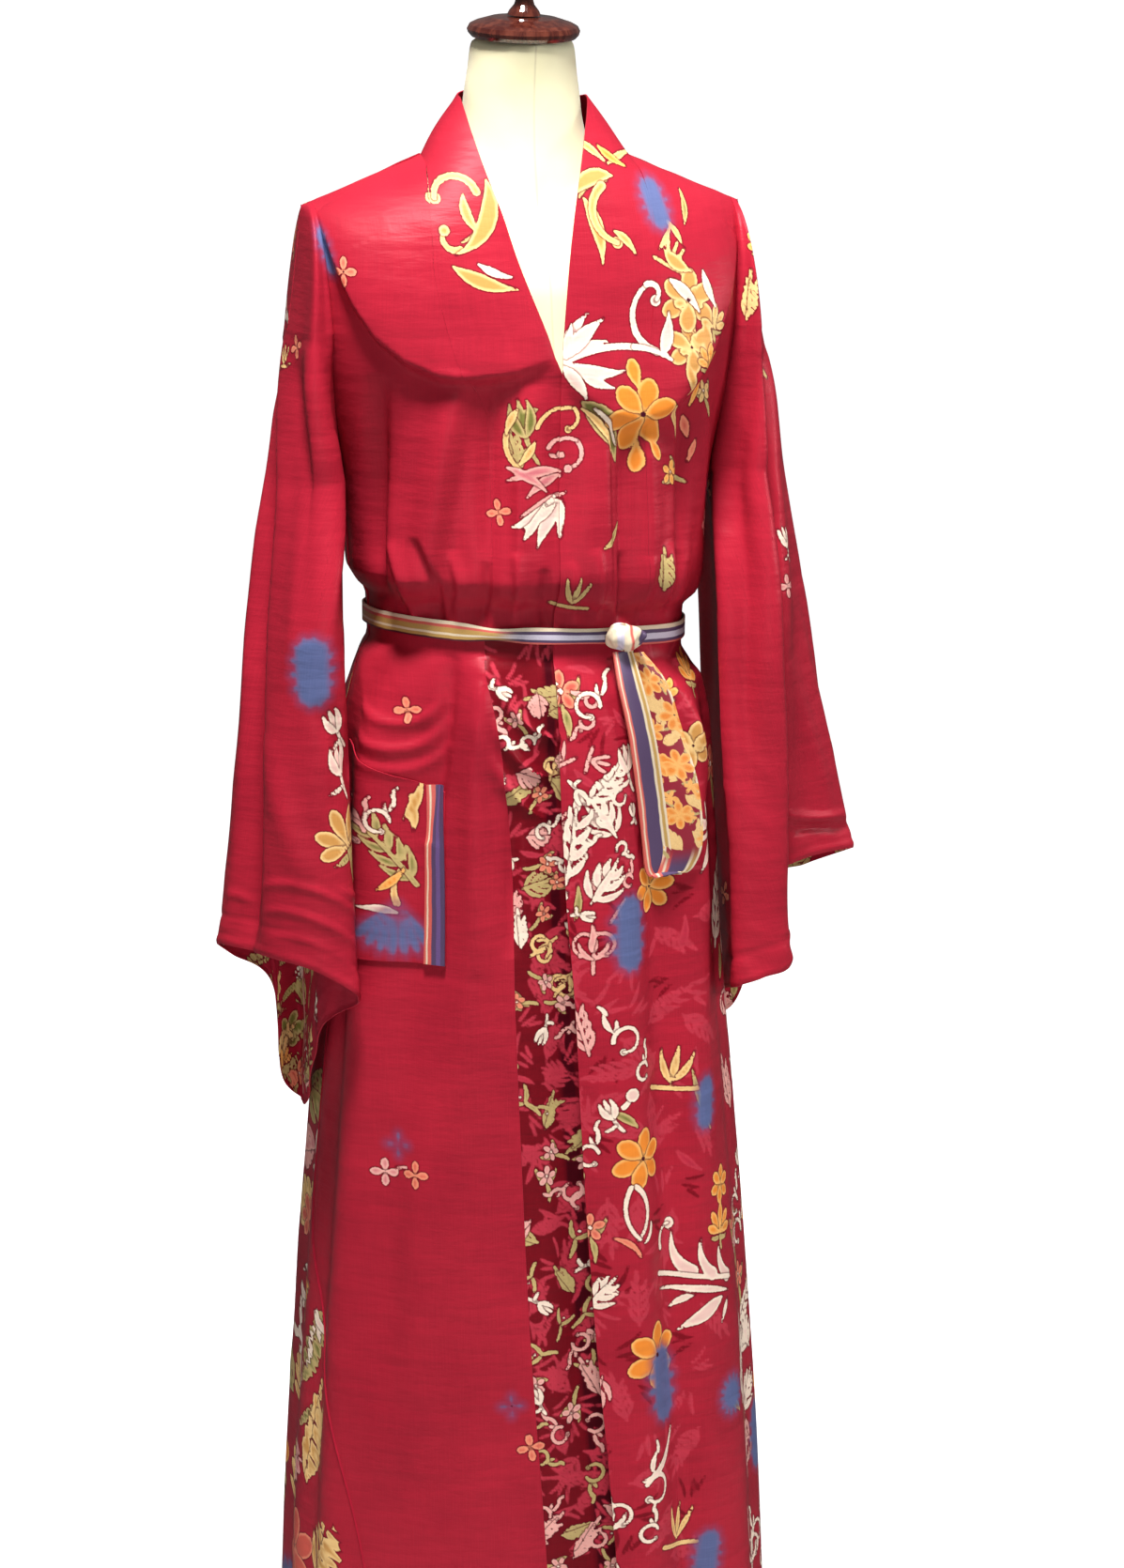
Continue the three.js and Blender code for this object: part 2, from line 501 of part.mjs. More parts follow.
// Degrees of the shoulder arc at which the back ends, lower at the neck
function backTop(column) {
  const neck = Math.min(1, BACK_COLUMNS[column] / BACK_COLUMNS[NECK_COLUMN]);
  return SHOULDER_ARC - (SHOULDER_ARC - BACK_NECK_ARC) * Math.sqrt(1 - neck ** 2);
}
const backHalf = BACK_COLUMNS.length - 1;
function backAngle(side, column, height) {
  const front = sideAngle(side, height);
  const end = (height > BODY_ROWS[0] ? front : 180 - front) - gapAngle();
  const widest = BACK_COLUMNS[backHalf];
  return 180 - side * (BACK_COLUMNS[column] / widest) * end;
}
function backPoint(row, column, depth) {
  const middle = END_COLUMNS + backHalf;
  const side = column < middle ? -1 : 1;
  const steps = Math.abs(column - middle);
  const share = row < lastEndRow ? SHOULDER_ROWS[row] : 0;
  if (steps > backHalf) return endPoint(side, -1, steps - backHalf, share * SHOULDER_ARC, depth);
  const height = row < lastEndRow ? CHEST + share * backTop(steps) : frontRows[row];
  return apart(body(backAngle(side, steps, height), height, -depth), -1, Math.max(0, height - CHEST));
}
function back() {
  const columns = 2 * (backHalf + END_COLUMNS);
  return clothWall({
    rows: frontRows.length - 1,
    columns,
    point: backPoint,
    has: (row, column) => (column >= END_COLUMNS && column < columns - END_COLUMNS) || row < lastEndRow,
  });
}

// Neckband of one front, from the hem up to the middle of the back neck. Its free edge lies under the other front's
// on the right and over it on the left.
function bandLift(side, share, height) {
  const below = ease((1330 - height) / 60);
  const skirt = ease((1040 - height) / 150);
  const waist = 1 - ease((Math.abs(height - BELT) - 20) / 40);
  const edge = side < 0 ? mix(-2, -2.8, waist) - 8 * skirt : mix(3.2 + 1.5 * skirt, 0, waist);
  return edge * below * ease(share * 1.15);
}
function bandRows(side) {
  const name = side < 0 ? 'right' : 'left';
  const onBody = [...ARMHOLE_ROWS, ...BODY_ROWS].map((height) => (share, out) => {
    const from = lineAngle(`${name}Seam`, height) - side * gapAngle();
    const to = lineAngle(`${name}Edge`, height);
    return body(mix(from, to, share), height, bandLift(side, share, height) + out);
  });
  const rising = COLLAR_RISE.map((row, i) => {
    const height = CHEST + SHOULDER_ROWS[SHOULDER_ROWS.length - 1 - i] * SHOULDER_ARC;
    return [body(lineAngle(`${name}Seam`, height) - side * gapAngle(), height), row[name]];
  });
  const standing = COLLAR.map((edge, i) => {
    const column = NECK_COLUMN - i;
    const arc = CHEST + backTop(column);
    const seam = i === 0
      ? body(lineAngle(`${name}Seam`, CHEST + SHOULDER_ARC) - side * gapAngle(), CHEST + SHOULDER_ARC)
      : body(backAngle(side, column, arc), arc + 0.4);
    return [seam, { ...edge, x: side * Math.max(edge.x, GAP / 2) }];
  });
  standing[NECK_COLUMN][0].x = side * (GAP / 2);
  const free = [...rising, ...standing];
  const place = (row, share) => {
    const [seam, edge] = free[row];
    const point = seam.clone().lerp(new THREE.Vector3(edge.x, edge.y, edge.z), share);
    const out = new THREE.Vector3(point.x, point.y - 8, 0).normalize();
    return point.addScaledVector(out, 3 * Math.sin(Math.PI * share));
  };
  const offBody = free.map((pair, row) => (share, out) => {
    const [before, after] = [Math.max(0, row - 1), Math.min(free.length - 1, row + 1)];
    const along = place(after, share).sub(place(before, share));
    const across = place(row, Math.min(1, share + 0.1)).sub(place(row, Math.max(0, share - 0.1)));
    const point = place(row, share).addScaledVector(across.cross(along).normalize(), -side * out);
    if (row === free.length - 1) point.x = side * (GAP / 2);
    return point;
  });
  return [...onBody.reverse(), ...offBody];
}
function band(side) {
  const rows = bandRows(side);
  return clothWall({
    rows: rows.length - 1,
    columns: BAND_COLUMNS,
    point: (row, column, depth) => rows[row](column / BAND_COLUMNS, -depth),
  });
}

function sleeve(side) {
  const table = tableOf(side);
  const levels = [
    ...ARMHOLE_ROWS.map((z) => (LEVEL_Z[0] - z) / (LEVEL_Z[0] - LEVEL_Z[1])),
    ...SLEEVE_BELT_ROWS.map((z) => 1 + (LEVEL_Z[1] - z) / (LEVEL_Z[1] - LEVEL_Z[2])),
    ...Array.from({ length: SLEEVE_CUFF_ROWS }, (_, i) => 2 + (i + 1) / SLEEVE_CUFF_ROWS),
  ];
  const underarm = ARMHOLE_ROWS.length - 1;
  const tube = (table.length - INNER_WALL) * SLEEVE_STEPS;
  return clothWall({
    rows: levels.length - 1,
    columns: table.length * SLEEVE_STEPS,
    joined: true,
    has: (row, column) => column < tube || row >= underarm,
    point: (row, column, depth) => {
      const surface = (a, b) => mirrored(sleeveSkin(table, side, (a + table.length) % table.length, b), side);
      const level = Math.min(levels[row], 2.999);
      const point = movedOut(surface, column / SLEEVE_STEPS, Math.max(level, 0.01), side * depth, [0.02, 0.005]);
      const flat = surface(column / SLEEVE_STEPS, levels[row]);
      if (row === 0) point.z = flat.z - GAP;
      return point;
    },
  });
}

// Place on the pocket's part of the front's own grid. Its top edge falls from the side to the centre by one row.
function pocketPoint(row, column, depth) {
  const { rows: [top], columns: [inner, outer] } = POCKET;
  const point = frontPoint(-1, top + row, inner + column, depth);
  if (row > 0) return point;
  return point.lerp(frontPoint(-1, top + 1, inner + column, depth), 1 - column / (outer - inner));
}
function pocket() {
  const { rows, columns, out } = POCKET;
  return clothWall({
    rows: rows[1] - rows[0],
    columns: columns[1] - columns[0],
    point: (row, column, depth) => pocketPoint(row, column, depth - out),
  });
}
function pocketTrim() {
  return clothWall({
    rows: POCKET.rows[1] - POCKET.rows[0],
    columns: 1,
    point: (row, column, depth) => {
      const inner = pocketPoint(row, 0, depth - TRIM.out);
      return column === 0 ? inner : inner.lerp(pocketPoint(row, 1, depth - TRIM.out), TRIM.share);
    },
  });
}

// A ribbon along the body: a row for each place on its middle line
function ribbon(path, across, wall) {
  const middle = path.map(({ x, z, out }) => body(angleOfX(x, z), z, out));
  const rows = path.map((place, i) => {
    const along = middle[Math.min(i + 1, path.length - 1)].clone().sub(middle[Math.max(i - 1, 0)]).normalize();
    const side = new THREE.Vector3(1, 0, 0).addScaledVector(along, -along.x);
    const flat = new THREE.Vector3(side.x, 0.28 * side.x, 0).normalize();
    return { middle: middle[i], side: flat, out: flat.clone().cross(along).normalize(), wide: place.wide };
  });
  return clothWall({
    rows: rows.length - 1,
    columns: across,
    wall,
    point: (row, column, depth) => {
      const { middle: centre, side, out, wide } = rows[row];
      return centre.clone().addScaledVector(side, wide * (column / across - 0.5)).addScaledVector(out, wall / 2 - depth);
    },
  });
}

function sash() {
  const count = 40;
  return clothWall({
    rows: 1,
    columns: count,
    joined: true,
    wall: SASH.wall,
    point: (row, column, depth) => {
      const angle = (360 / count) * column;
      const ring = at(BODY_RINGS, BELT - 8);
      const flat = ringPoint(angle, ring.side, ring.front, ring.back);
      flat.setLength(flat.length() + SASH.out - depth);
      const z = BELT + SASH.fall * flat.x + (row === 0 ? 0.5 : -0.5) * SASH.height;
      return new THREE.Vector3(flat.x, flat.y, z);
    },
  });
}

function knot() {
  const shape = new THREE.SphereGeometry(0.5, 14, 9);
  const place = shape.attributes.position;
  const centre = body(angleOfX(KNOT.x, BELT - 8), BELT - 8, SASH.out + KNOT.deep / 2 + GAP);
  const turn = Math.atan2(0.28, 1);
  for (let i = 0; i < place.count; i += 1) {
    const [x, y, z] = [place.getX(i), place.getY(i), place.getZ(i)].map((v) => power(2 * v, 0.8) / 2);
    const flat = new THREE.Vector2(x * KNOT.long, y * KNOT.deep).rotateAround(new THREE.Vector2(), turn);
    place.setXYZ(i, centre.x + flat.x, centre.y + flat.y, KNOT.z + z * KNOT.high);
  }
  return shape;
}

const formAngles = Array.from({ length: FORM_COLUMNS }, (_, i) => (360 / FORM_COLUMNS) * i);
function neckRing(ring) {
  return formAngles.map((angle) => {
    const flat = ringPoint(angle, ring.side, ring.front, ring.back, 2);
    const facing = flat.y < 0 ? -flat.y / ring.front : flat.y / ring.back;
    return new THREE.Vector3(flat.x, flat.y, mix(ring.sideZ, flat.y < 0 ? ring.frontZ : ring.backZ, facing));
  });
}

// Shoulder line of the dress form, a little under the robe's, running down into the neck
function formShoulderZ(x) {
  const inside = Math.max(0, NECK_FOOT.x - Math.abs(x));
  return shoulderZ(Math.max(Math.abs(x), NECK_FOOT.x)) - TORSO_UNDER - NECK_FOOT.fall * inside;
}
function shoulderRing(arc) {
  const chest = TORSO_RINGS[TORSO_RINGS.length - 1];
  const rise = Math.sin(radians(arc));
  return formAngles.map((angle) => {
    const flat = ringPoint(angle, chest.side, chest.front, chest.back);
    const x = mix(flat.x, (flat.x * TORSO_SHOULDER) / chest.side, rise);
    return new THREE.Vector3(x, arc < 90 ? flat.y * Math.cos(radians(arc)) : 0, mix(CHEST, formShoulderZ(x), rise));
  });
}

// A geometry as a solid that can be joined
function joinable(geometry) {
  for (const name of ['normal', 'uv']) geometry.deleteAttribute(name);
  const merged = mergeVertices(geometry, 1e-3);
  const flat = merged.index.array;
  const triVerts = [];
  for (let i = 0; i < flat.length; i += 3) {
    const corner = [flat[i], flat[i + 1], flat[i + 2]];
    if (new Set(corner).size === 3) triVerts.push(...corner);
  }
  const vertProperties = Float32Array.from(merged.attributes.position.array);
  return new wasm.Manifold(new wasm.Mesh({ numProp: 3, vertProperties, triVerts: Uint32Array.from(triVerts) }));
}
function torso() {
  const rings = TORSO_RINGS.map(({ z, side, front, back }) => formAngles.map((angle) => {
    const flat = ringPoint(angle, side, front, back);
    return new THREE.Vector3(flat.x, flat.y, z);
  }));
  const arcs = [...SHOULDER_ROWS].reverse().map((share) => share * SHOULDER_ARC);
  const shell = joinable(loft([...rings, ...arcs.map(shoulderRing)], 1));
  const { vertProperties, triVerts } = shell.add(joinable(loft(NECK_RINGS.map(neckRing)))).getMesh();
  const geometry = new THREE.BufferGeometry();
  geometry.setAttribute('position', new THREE.BufferAttribute(vertProperties, 3));
  geometry.setIndex(new THREE.BufferAttribute(triVerts, 1));
  geometry.computeVertexNormals();
  return geometry;
}

// A turned piece from a profile of radius and height, closed on its axis
function turned(profile, segments = 32) {
  const shape = new THREE.LatheGeometry(profile.map(([radius, height]) => new THREE.Vector2(radius, height)), segments);
  return shape.rotateX(Math.PI / 2);
}

function cap() {
  const { radius, foot, thick } = CAP;
  return turned([
    [0, 0], [foot, 0], [radius - 1, thick * 0.25], [radius, thick * 0.5], [radius - 2, thick * 0.8],
    [radius - 7, thick], [30, thick + 4], [0, thick + 6],
  ]);
}
function finial() {
  const { thick, stem, height } = CAP;
  const foot = thick + 6.3;
  return turned([
    [0, foot], [stem + 4, foot], [stem + 2, foot + 4], [stem - 2, foot + 9], [stem - 4, foot + 16], [stem, foot + 22],
    [stem + 5, foot + 30], [stem + 6, foot + 38], [stem + 2, foot + 46], [stem - 6, foot + 52], [0, height],
  ], 24);
}

function material(colour, roughness, metalness = 0) {
  return new THREE.MeshStandardMaterial({ color: colour, roughness, metalness });
}
const SILK = { colour: 0xa5203a, rough: 0.38 };
const PRINT = { colour: 0xa93045, rough: 0.4 };
const BORDER = { colour: 0x8a7a90, rough: 0.5 };
const JERSEY = { colour: 0xf3ead6, rough: 0.85 };
const WOOD = { colour: 0x3a1710, rough: 0.25 };

const robe = new THREE.Group();
const stand = new THREE.Group();
function add(group, name, geometry, finish) {
  const mesh = new THREE.Mesh(geometry, material(finish.colour, finish.rough));
  mesh.name = name;
  group.add(mesh);
  return mesh;
}

add(robe, 'back', back(), PRINT);
add(robe, 'front_right', front(-1), SILK);
add(robe, 'front_left', front(1), PRINT);
add(robe, 'neckband_right', band(-1), PRINT);
add(robe, 'neckband_left', band(1), PRINT);
add(robe, 'sleeve_right', sleeve(-1), SILK);
add(robe, 'sleeve_left', sleeve(1), SILK);
add(robe, 'pocket_right', pocket(), PRINT);
add(robe, 'pocket_trim', pocketTrim(), BORDER);
add(robe, 'sash_ring', sash(), BORDER);
add(robe, 'sash_knot', knot(), BORDER);
add(robe, 'sash_loop', ribbon(LOOP, 2, SASH.wall), BORDER);

add(stand, 'form_torso', torso(), JERSEY);
for (const [name, shape] of [['neck_cap', cap()], ['neck_finial', finial()]]) {
  const piece = add(stand, name, shape, WOOD);
  piece.rotation.x = radians(NECK_LEAN);
  piece.position.set(0, NECK_TOP.y, NECK_TOP.z + SEAT);
}
add(stand, 'pole', turned([
  [0, BASE.thick + SEAT], [POLE.radius, BASE.thick + SEAT], [POLE.radius, POLE.top], [0, POLE.top],
]), WOOD);
add(stand, 'base', turned([
  [0, 0], [BASE.radius - 4, 0], [BASE.radius, 4], [BASE.radius, BASE.edge], [BASE.radius - 8, BASE.edge + 5],
  [60, BASE.thick - 2], [0, BASE.thick],
]), WOOD);

const part = new THREE.Group();
part.add(robe, stand);
export default part;
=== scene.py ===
# Kimono duster of old sari silk on a limbless dress form. The cloth is built in millimetres on the same
# surfaces as the solids of the frame, with finer folds, and is scaled to metres as each mesh is made. The
# robe's front faces -Y and the wearer's right side is -X.
import math

import bpy
import numpy as np
from mathutils import Euler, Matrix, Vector


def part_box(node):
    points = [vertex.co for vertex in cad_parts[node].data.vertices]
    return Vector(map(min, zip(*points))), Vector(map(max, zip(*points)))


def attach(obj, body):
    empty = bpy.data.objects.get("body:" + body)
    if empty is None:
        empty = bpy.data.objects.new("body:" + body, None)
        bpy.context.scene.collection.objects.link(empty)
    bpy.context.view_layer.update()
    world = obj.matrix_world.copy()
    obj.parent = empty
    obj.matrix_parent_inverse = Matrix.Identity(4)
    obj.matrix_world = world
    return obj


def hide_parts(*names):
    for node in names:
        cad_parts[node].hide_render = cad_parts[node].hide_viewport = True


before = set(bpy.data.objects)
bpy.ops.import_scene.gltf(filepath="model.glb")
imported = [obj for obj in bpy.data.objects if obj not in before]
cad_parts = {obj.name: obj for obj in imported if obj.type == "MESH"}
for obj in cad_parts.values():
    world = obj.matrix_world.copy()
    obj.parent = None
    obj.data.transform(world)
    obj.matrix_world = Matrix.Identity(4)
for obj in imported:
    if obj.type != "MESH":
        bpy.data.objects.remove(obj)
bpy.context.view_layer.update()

METRE = 0.001  # of a millimetre
FINENESS = 1.0
STEP = 3.0 * FINENESS  # between neighbouring points of the fronts
BACK_STEP = 5.7 * FINENESS
BAND_STEP = 2.1 * FINENESS
SLEEVE_STEP = 3.5 * FINENESS

# Cloth and heights, as in the solids
CLOTH = 1.2  # wall of the silk
GAP = 0.05
ROUNDNESS = 2.3
HEM = 115
BELT = 1062
UNDERARM = 1195
CHEST = 1325
SIDE_NECK_X, SIDE_NECK_Z = 92, 1476
SHOULDER_SLOPE, NECK_SLOPE = 0.4, 0.6
SHOULDER_CORNER = 200
SPREAD = 0.045
BACK_NECK_ARC = 42
BODY_SIDE = 150  # rough half width
SASH_FALL = -0.06
SASH_REACH = 30
GATHERS = 55  # reach of the fine gathers above and below the belt


class Table:
    """Rows of numbers with named columns, read as a smooth curve over the first column."""

    def __init__(self, names, *rows):
        values = np.array(sorted(rows), float).T
        self.key = values[0]
        self.columns = dict(zip(names.split(), values))

    def at(self, name, place):
        x, y = self.key, self.columns[name]
        rate = np.diff(y) / np.diff(x)
        slope = np.zeros(len(y))
        slope[0], slope[-1] = rate[0], rate[-1]
        level = rate[:-1] * rate[1:]
        together = rate[:-1] + rate[1:]
        slope[1:-1] = np.where(level > 0, 2 * level / np.where(together == 0, 1, together), 0)
        place = np.clip(place, x[0], x[-1])
        i = np.clip(np.searchsorted(x, place) - 1, 0, len(x) - 2)
        span = x[i + 1] - x[i]
        t = (place - x[i]) / span
        rise = y[i + 1] - y[i]
        bend = span * t * (1 - t) * (slope[i] * (1 - t) - slope[i + 1] * t)
        return y[i] + rise * t * t * (3 - 2 * t) + bend



BODY_RINGS = Table(
    "z side front back",
    (1325, 196, 118, 104),
    (1290, 189, 122, 106),
    (1250, 180, 122, 106),
    (1195, 168, 124, 104),
    (1145, 163, 130, 106),
    (1112, 161, 134, 110),
    (1095, 155, 128, 105),
    (1081, 144, 118, 96),
    (1044, 142.5, 117, 95),
    (1030, 150, 122, 102),
    (1005, 162, 129, 112),
    (960, 172, 133, 121),
    (880, 177, 137, 128),
    (770, 183, 141, 134),
    (640, 194, 146, 141),
    (507, 206, 151, 149),
    (376, 216, 156, 158),
    (250, 224, 161, 166),
    (115, 230, 165, 173),
)
# x where the seams and free edges of the fronts cross each height
FRONT_LINES = Table(
    "z right_seam left_seam right_edge left_edge",
    (1476, -92, 92, -55, 40),
    (1457, -98, 97, -47, 29),
    (1386, -103, 95, -29, 16),
    (1310, -84, 84, -3, 5),
    (1250, -63, 78, 13, 1),
    (1097, -60, 78, 15, -2),
    (1048, -63, 77, 14, -3),
    (968, -53, 80, 20, -3),
    (833, -45, 83, 27, 0),
    (741, -44, 84, 29, 7),
    (593, -40, 88, 34, 14),
    (450, -35, 97, 39, 23),
    (250, -23, 113, 51, 39),
    (115, -15, 122, 59, 47),
)
# Degrees from the front of the side seams, and of the armhole's edge above the underarm
SIDE_LINES = Table(
    "z right left",
    (1325, 67, 67),
    (1195, 87, 87),
    (1160, 90, 90),
    (620, 90, 90),
    (500, 86, 90),
    (430, 77, 90),
    (352, 64, 90),
    (207, 50, 90),
    (115, 46, 90),
)

# Folds of the body, ridges or, where out is negative, troughs: angle at the belt, degrees that it drifts in
# 1000 mm down, heights where it starts, is full and ends (0 for the hem), how far out, and width in degrees
FOLDS = [
    (-24, 4, 1048, 985, 560, 7, 6),
    (-41, -6, 1048, 970, 300, -7, 8),
    (-62, -2, 1048, 960, 0, 8, 9),
    (-80, 6, 1020, 900, 0, -8, 8),
    (8, 8, 1048, 920, 0, 7, 8),
    (27, 3, 1048, 960, 0, -8, 6),
    (45, 3, 1048, 960, 0, 8, 8),
    (68, -3, 1048, 940, 0, -8, 9),
    (100, 0, 1048, 900, 0, 9, 9),
    (124, 2, 1048, 960, 0, -9, 9),
    (148, 0, 1048, 960, 0, 10, 9),
    (170, -2, 1048, 980, 0, -9, 8),
    (192, 2, 1048, 960, 0, 9, 8),
    (214, 0, 1048, 960, 0, -9, 9),
    (240, 3, 1048, 940, 0, 10, 10),
    (262, 0, 1048, 900, 0, -7, 8),
    (-15, 0, 1180, 1100, 1081, 5, 4),
    (-32, 0, 1200, 1105, 1081, -5, 6),
    (-55, 0, 1230, 1110, 1081, 6, 7),
    (20, 0, 1190, 1105, 1081, -5, 4),
    (36, 0, 1200, 1105, 1081, 5, 5),
    (58, 0, 1220, 1110, 1081, -6, 6),
    (140, 0, 1210, 1105, 1081, -6, 8),
    (165, 0, 1210, 1105, 1081, 6, 8),
    (195, 0, 1210, 1105, 1081, 6, 8),
    (220, 0, 1210, 1105, 1081, -6, 8),
]

# Creases of the cloth at the front, ridges or, where out is negative, troughs: across from the centre front
# and up at the start, middle and end, how far out at the middle, and widths on the left and right of the way
# along it
CREASES = [
    # Overhang from each shoulder to the crossing
    (-207, 1428, -124, 1306, -2, 1309, 16, 50, 8),
    (0, 1306, 96, 1258, 204, 1404, 12, 44, 9),
    # Long folds of the chest
    (-82, 1298, -98, 1200, -122, 1084, 14, 8, 24),
    (-56, 1292, -62, 1200, -62, 1084, -6, 10, 9),
    (-158, 1290, -168, 1180, -160, 1090, -14, 12, 14),
    (-120, 1270, -140, 1180, -150, 1100, 4, 12, 12),
    (-28, 1284, -34, 1190, -38, 1080, 10, 18, 7),
    (62, 1250, 59, 1180, 60, 1086, -5, 8, 6),
    (40, 1260, 40, 1180, 42, 1086, 8, 5, 16),
    (82, 1250, 82, 1170, 82, 1088, 9, 16, 6),
    (122, 1280, 128, 1170, 120, 1088, -9, 8, 8),
    (150, 1280, 160, 1180, 150, 1090, 5, 12, 12),
    (20, 1230, 22, 1160, 20, 1088, 4, 10, 10),
    # Gathers over the sash
    (-124, 1150, -112, 1114, -100, 1070, -7, 4, 7),
    (-98, 1138, -90, 1106, -84, 1070, 5, 7, 4),
    (-146, 1146, -134, 1106, -124, 1070, 5, 7, 4),
    (-66, 1130, -66, 1100, -64, 1070, -5, 4, 6),
    (-40, 1140, -38, 1106, -38, 1070, 5, 7, 4),
    (-14, 1124, -12, 1100, -10, 1070, -4, 4, 6),
    (8, 1130, 12, 1100, 14, 1070, 4, 4, 6),
    (30, 1140, 34, 1106, 36, 1070, 5, 4, 7),
    (58, 1134, 60, 1104, 60, 1070, -6, 6, 4),
    (80, 1130, 80, 1102, 78, 1070, 4, 6, 5),
    (104, 1140, 104, 1108, 100, 1070, 5, 7, 7),
    (128, 1130, 124, 1104, 118, 1070, -5, 5, 5),
    # Folds and swags below the sash
    (-62, 1046, -70, 960, -74, 760, 9, 8, 12),
    (-92, 1046, -104, 980, -118, 880, -8, 9, 9),
    (-104, 1012, -138, 986, -186, 1000, 4, 7, 3),
    (-100, 992, -140, 964, -188, 974, 4.5, 8, 3),
    (-98, 972, -136, 946, -184, 950, 3.5, 7, 3),
    (-62, 1044, -38, 996, 0, 972, 6, 3.5, 8),
    (-66, 1026, -46, 966, -4, 938, 6, 3.5, 8),
    (-68, 1000, -50, 936, -8, 900, 5, 3.5, 8),
    (-44, 930, -46, 860, -48, 780, -6, 7, 7),
    (66, 1044, 96, 990, 128, 900, -5, 9, 9),
    (92, 1040, 130, 980, 168, 900, 5, 10, 10),
    # Long soft folds of the skirt
    (-150, 760, -140, 560, -150, 300, 5, 26, 26),
    (-95, 760, -92, 500, -98, 150, 4, 24, 24),
    (60, 860, 66, 560, 74, 150, 5, 20, 20),
    (150, 800, 168, 520, 190, 130, -6, 20, 20),
    (118, 700, 130, 420, 150, 120, 5, 18, 18),
    (-18, 900, -12, 600, -6, 200, 4, 16, 16),
]


def ease(value):
    value = np.clip(value, 0, 1)
    return value * value * (3 - 2 * value)


def mix(low, high, share):
    return low + (high - low) * share


def power(value, exponent):
    return np.sign(value) * np.abs(value) ** exponent


def bell(away, width):
    """1 at the middle, and next to nothing past twice the width."""
    return np.exp(-((away / width) ** 2))


def curve(start, middle, end):
    """Points of a smooth arc from start to end that passes through middle."""
    t = np.linspace(0, 1, 9)[:, None]
    pull = 2 * np.asarray(middle, float) - (np.asarray(start, float) + end) / 2
    return (1 - t) ** 2 * start + 2 * t * (1 - t) * pull + t**2 * np.asarray(end, float)


def near_path(across, up, path, reach):
    """Which places lie within reach of a path's box, and for each stretch of the path, how far along it they
    come nearest, from 0 to 1, and their distance from it there."""
    low, high = path.min(0) - reach, path.max(0) + reach
    near = np.flatnonzero((across > low[0]) & (across < high[0]) & (up > low[1]) & (up < high[1]))
    place = np.stack([across[near], up[near]], -1)[:, None]
    run = np.diff(path, axis=0)
    length = np.maximum((run**2).sum(-1), 1e-6)
    t = np.clip(((place - path[:-1]) * run).sum(-1) / length, 0, 1)
    distance = np.linalg.norm(place - path[:-1] - t[..., None] * run, axis=-1)
    return near, t, distance


def creases_at(creases, across, up):
    """How far the creases of a table push the cloth out, at places across and up it."""
    across, up = np.broadcast_arrays(np.asarray(across, float), np.asarray(up, float))
    flat_across, flat_up = across.reshape(-1), up.reshape(-1)
    push = np.zeros(len(flat_across))
    for x0, z0, x1, z1, x2, z2, out, width, right_width in creases:
        path = curve((x0, z0), (x1, z1), (x2, z2))
        near, t, distance = near_path(flat_across, flat_up, path, 2.4 * max(width, right_width))
        if not len(near):
            continue
        run = np.diff(path, axis=0)
        stretch = distance.argmin(1)
        share = (stretch + t[np.arange(len(t)), stretch]) / len(run)
        away_x, away_z = flat_across[near] - path[stretch, 0], flat_up[near] - path[stretch, 1]
        left = run[stretch, 0] * away_z > run[stretch, 1] * away_x
        fade = bell(distance.min(1), np.where(left, width, right_width))
        push[near] += out * np.sin(np.pi * np.clip(share, 0, 1)) ** 0.6 * fade
    return push.reshape(across.shape)


DRAG_WAVES = (17, 23, 31, 43, 59)  # widths of the drag lines


def crumple(across, up, seed):
    """Fine drag lines of soft silk, longer up the cloth than across it, from about -1 to 1."""
    random = np.random.default_rng(seed)
    total = 0
    for wave in DRAG_WAVES:
        lean, length = random.uniform(-0.3, 0.3), wave * random.uniform(2.4, 3.6)
        turns = random.uniform(0, 2 * np.pi, 3)
        bend = 1.6 * np.sin(up / length + turns[0])
        here = ease(0.5 + np.sin(up / (1.7 * length) + across / (2.3 * wave) + turns[1]))
        ridges = 1 - 1.6 * np.abs(np.sin((across + lean * up) / wave + bend + turns[2]))
        total = total + here * ridges * wave / DRAG_WAVES[-1]
    return total


def shoulder_z(x):
    past = SIDE_NECK_X - np.abs(x)
    return SIDE_NECK_Z + past * np.where(past > 0, NECK_SLOPE, SHOULDER_SLOPE)


def ring_point(angle, side, front, back):
    turn = np.radians(angle)
    along = np.cos(turn)
    x = side * power(np.sin(turn), 2 / ROUNDNESS)
    y = -np.where(along > 0, front, back) * power(along, 2 / ROUNDNESS)
    return x, y


MEAN_DEPTH = 0.72  # of the body's sections, from the middle, as a share of their half width
TURNS = np.linspace(0, 180, 181)
TURN_POINTS = ring_point(TURNS, 1.0, MEAN_DEPTH, MEAN_DEPTH)
TURN_LENGTHS = np.concatenate([[0], np.cumsum(np.hypot(*np.diff(TURN_POINTS, axis=1)))])


def girth(angle, level):
    """Length of cloth from the centre front round to an angle, without the folds."""
    turn = (np.asarray(angle, float) + 180) % 360 - 180
    return np.sign(turn) * np.interp(np.abs(turn), TURNS, TURN_LENGTHS) * BODY_RINGS.at("side", level)


def folds_at(angle, z):
    """How far the folds of the body push it out."""
    push = np.zeros(np.broadcast(angle, z).shape)
    for middle, drift, start, full, end, out, width in FOLDS:
        away = (angle - middle - drift * (BELT - z) / 1000 + 540) % 360 - 180
        rise = ease((start - z) / (start - full))
        fall = ease((z - end) / min(200, full - end + 1)) if end else 1
        push = push + out * rise * fall * bell(away, width)
    return push


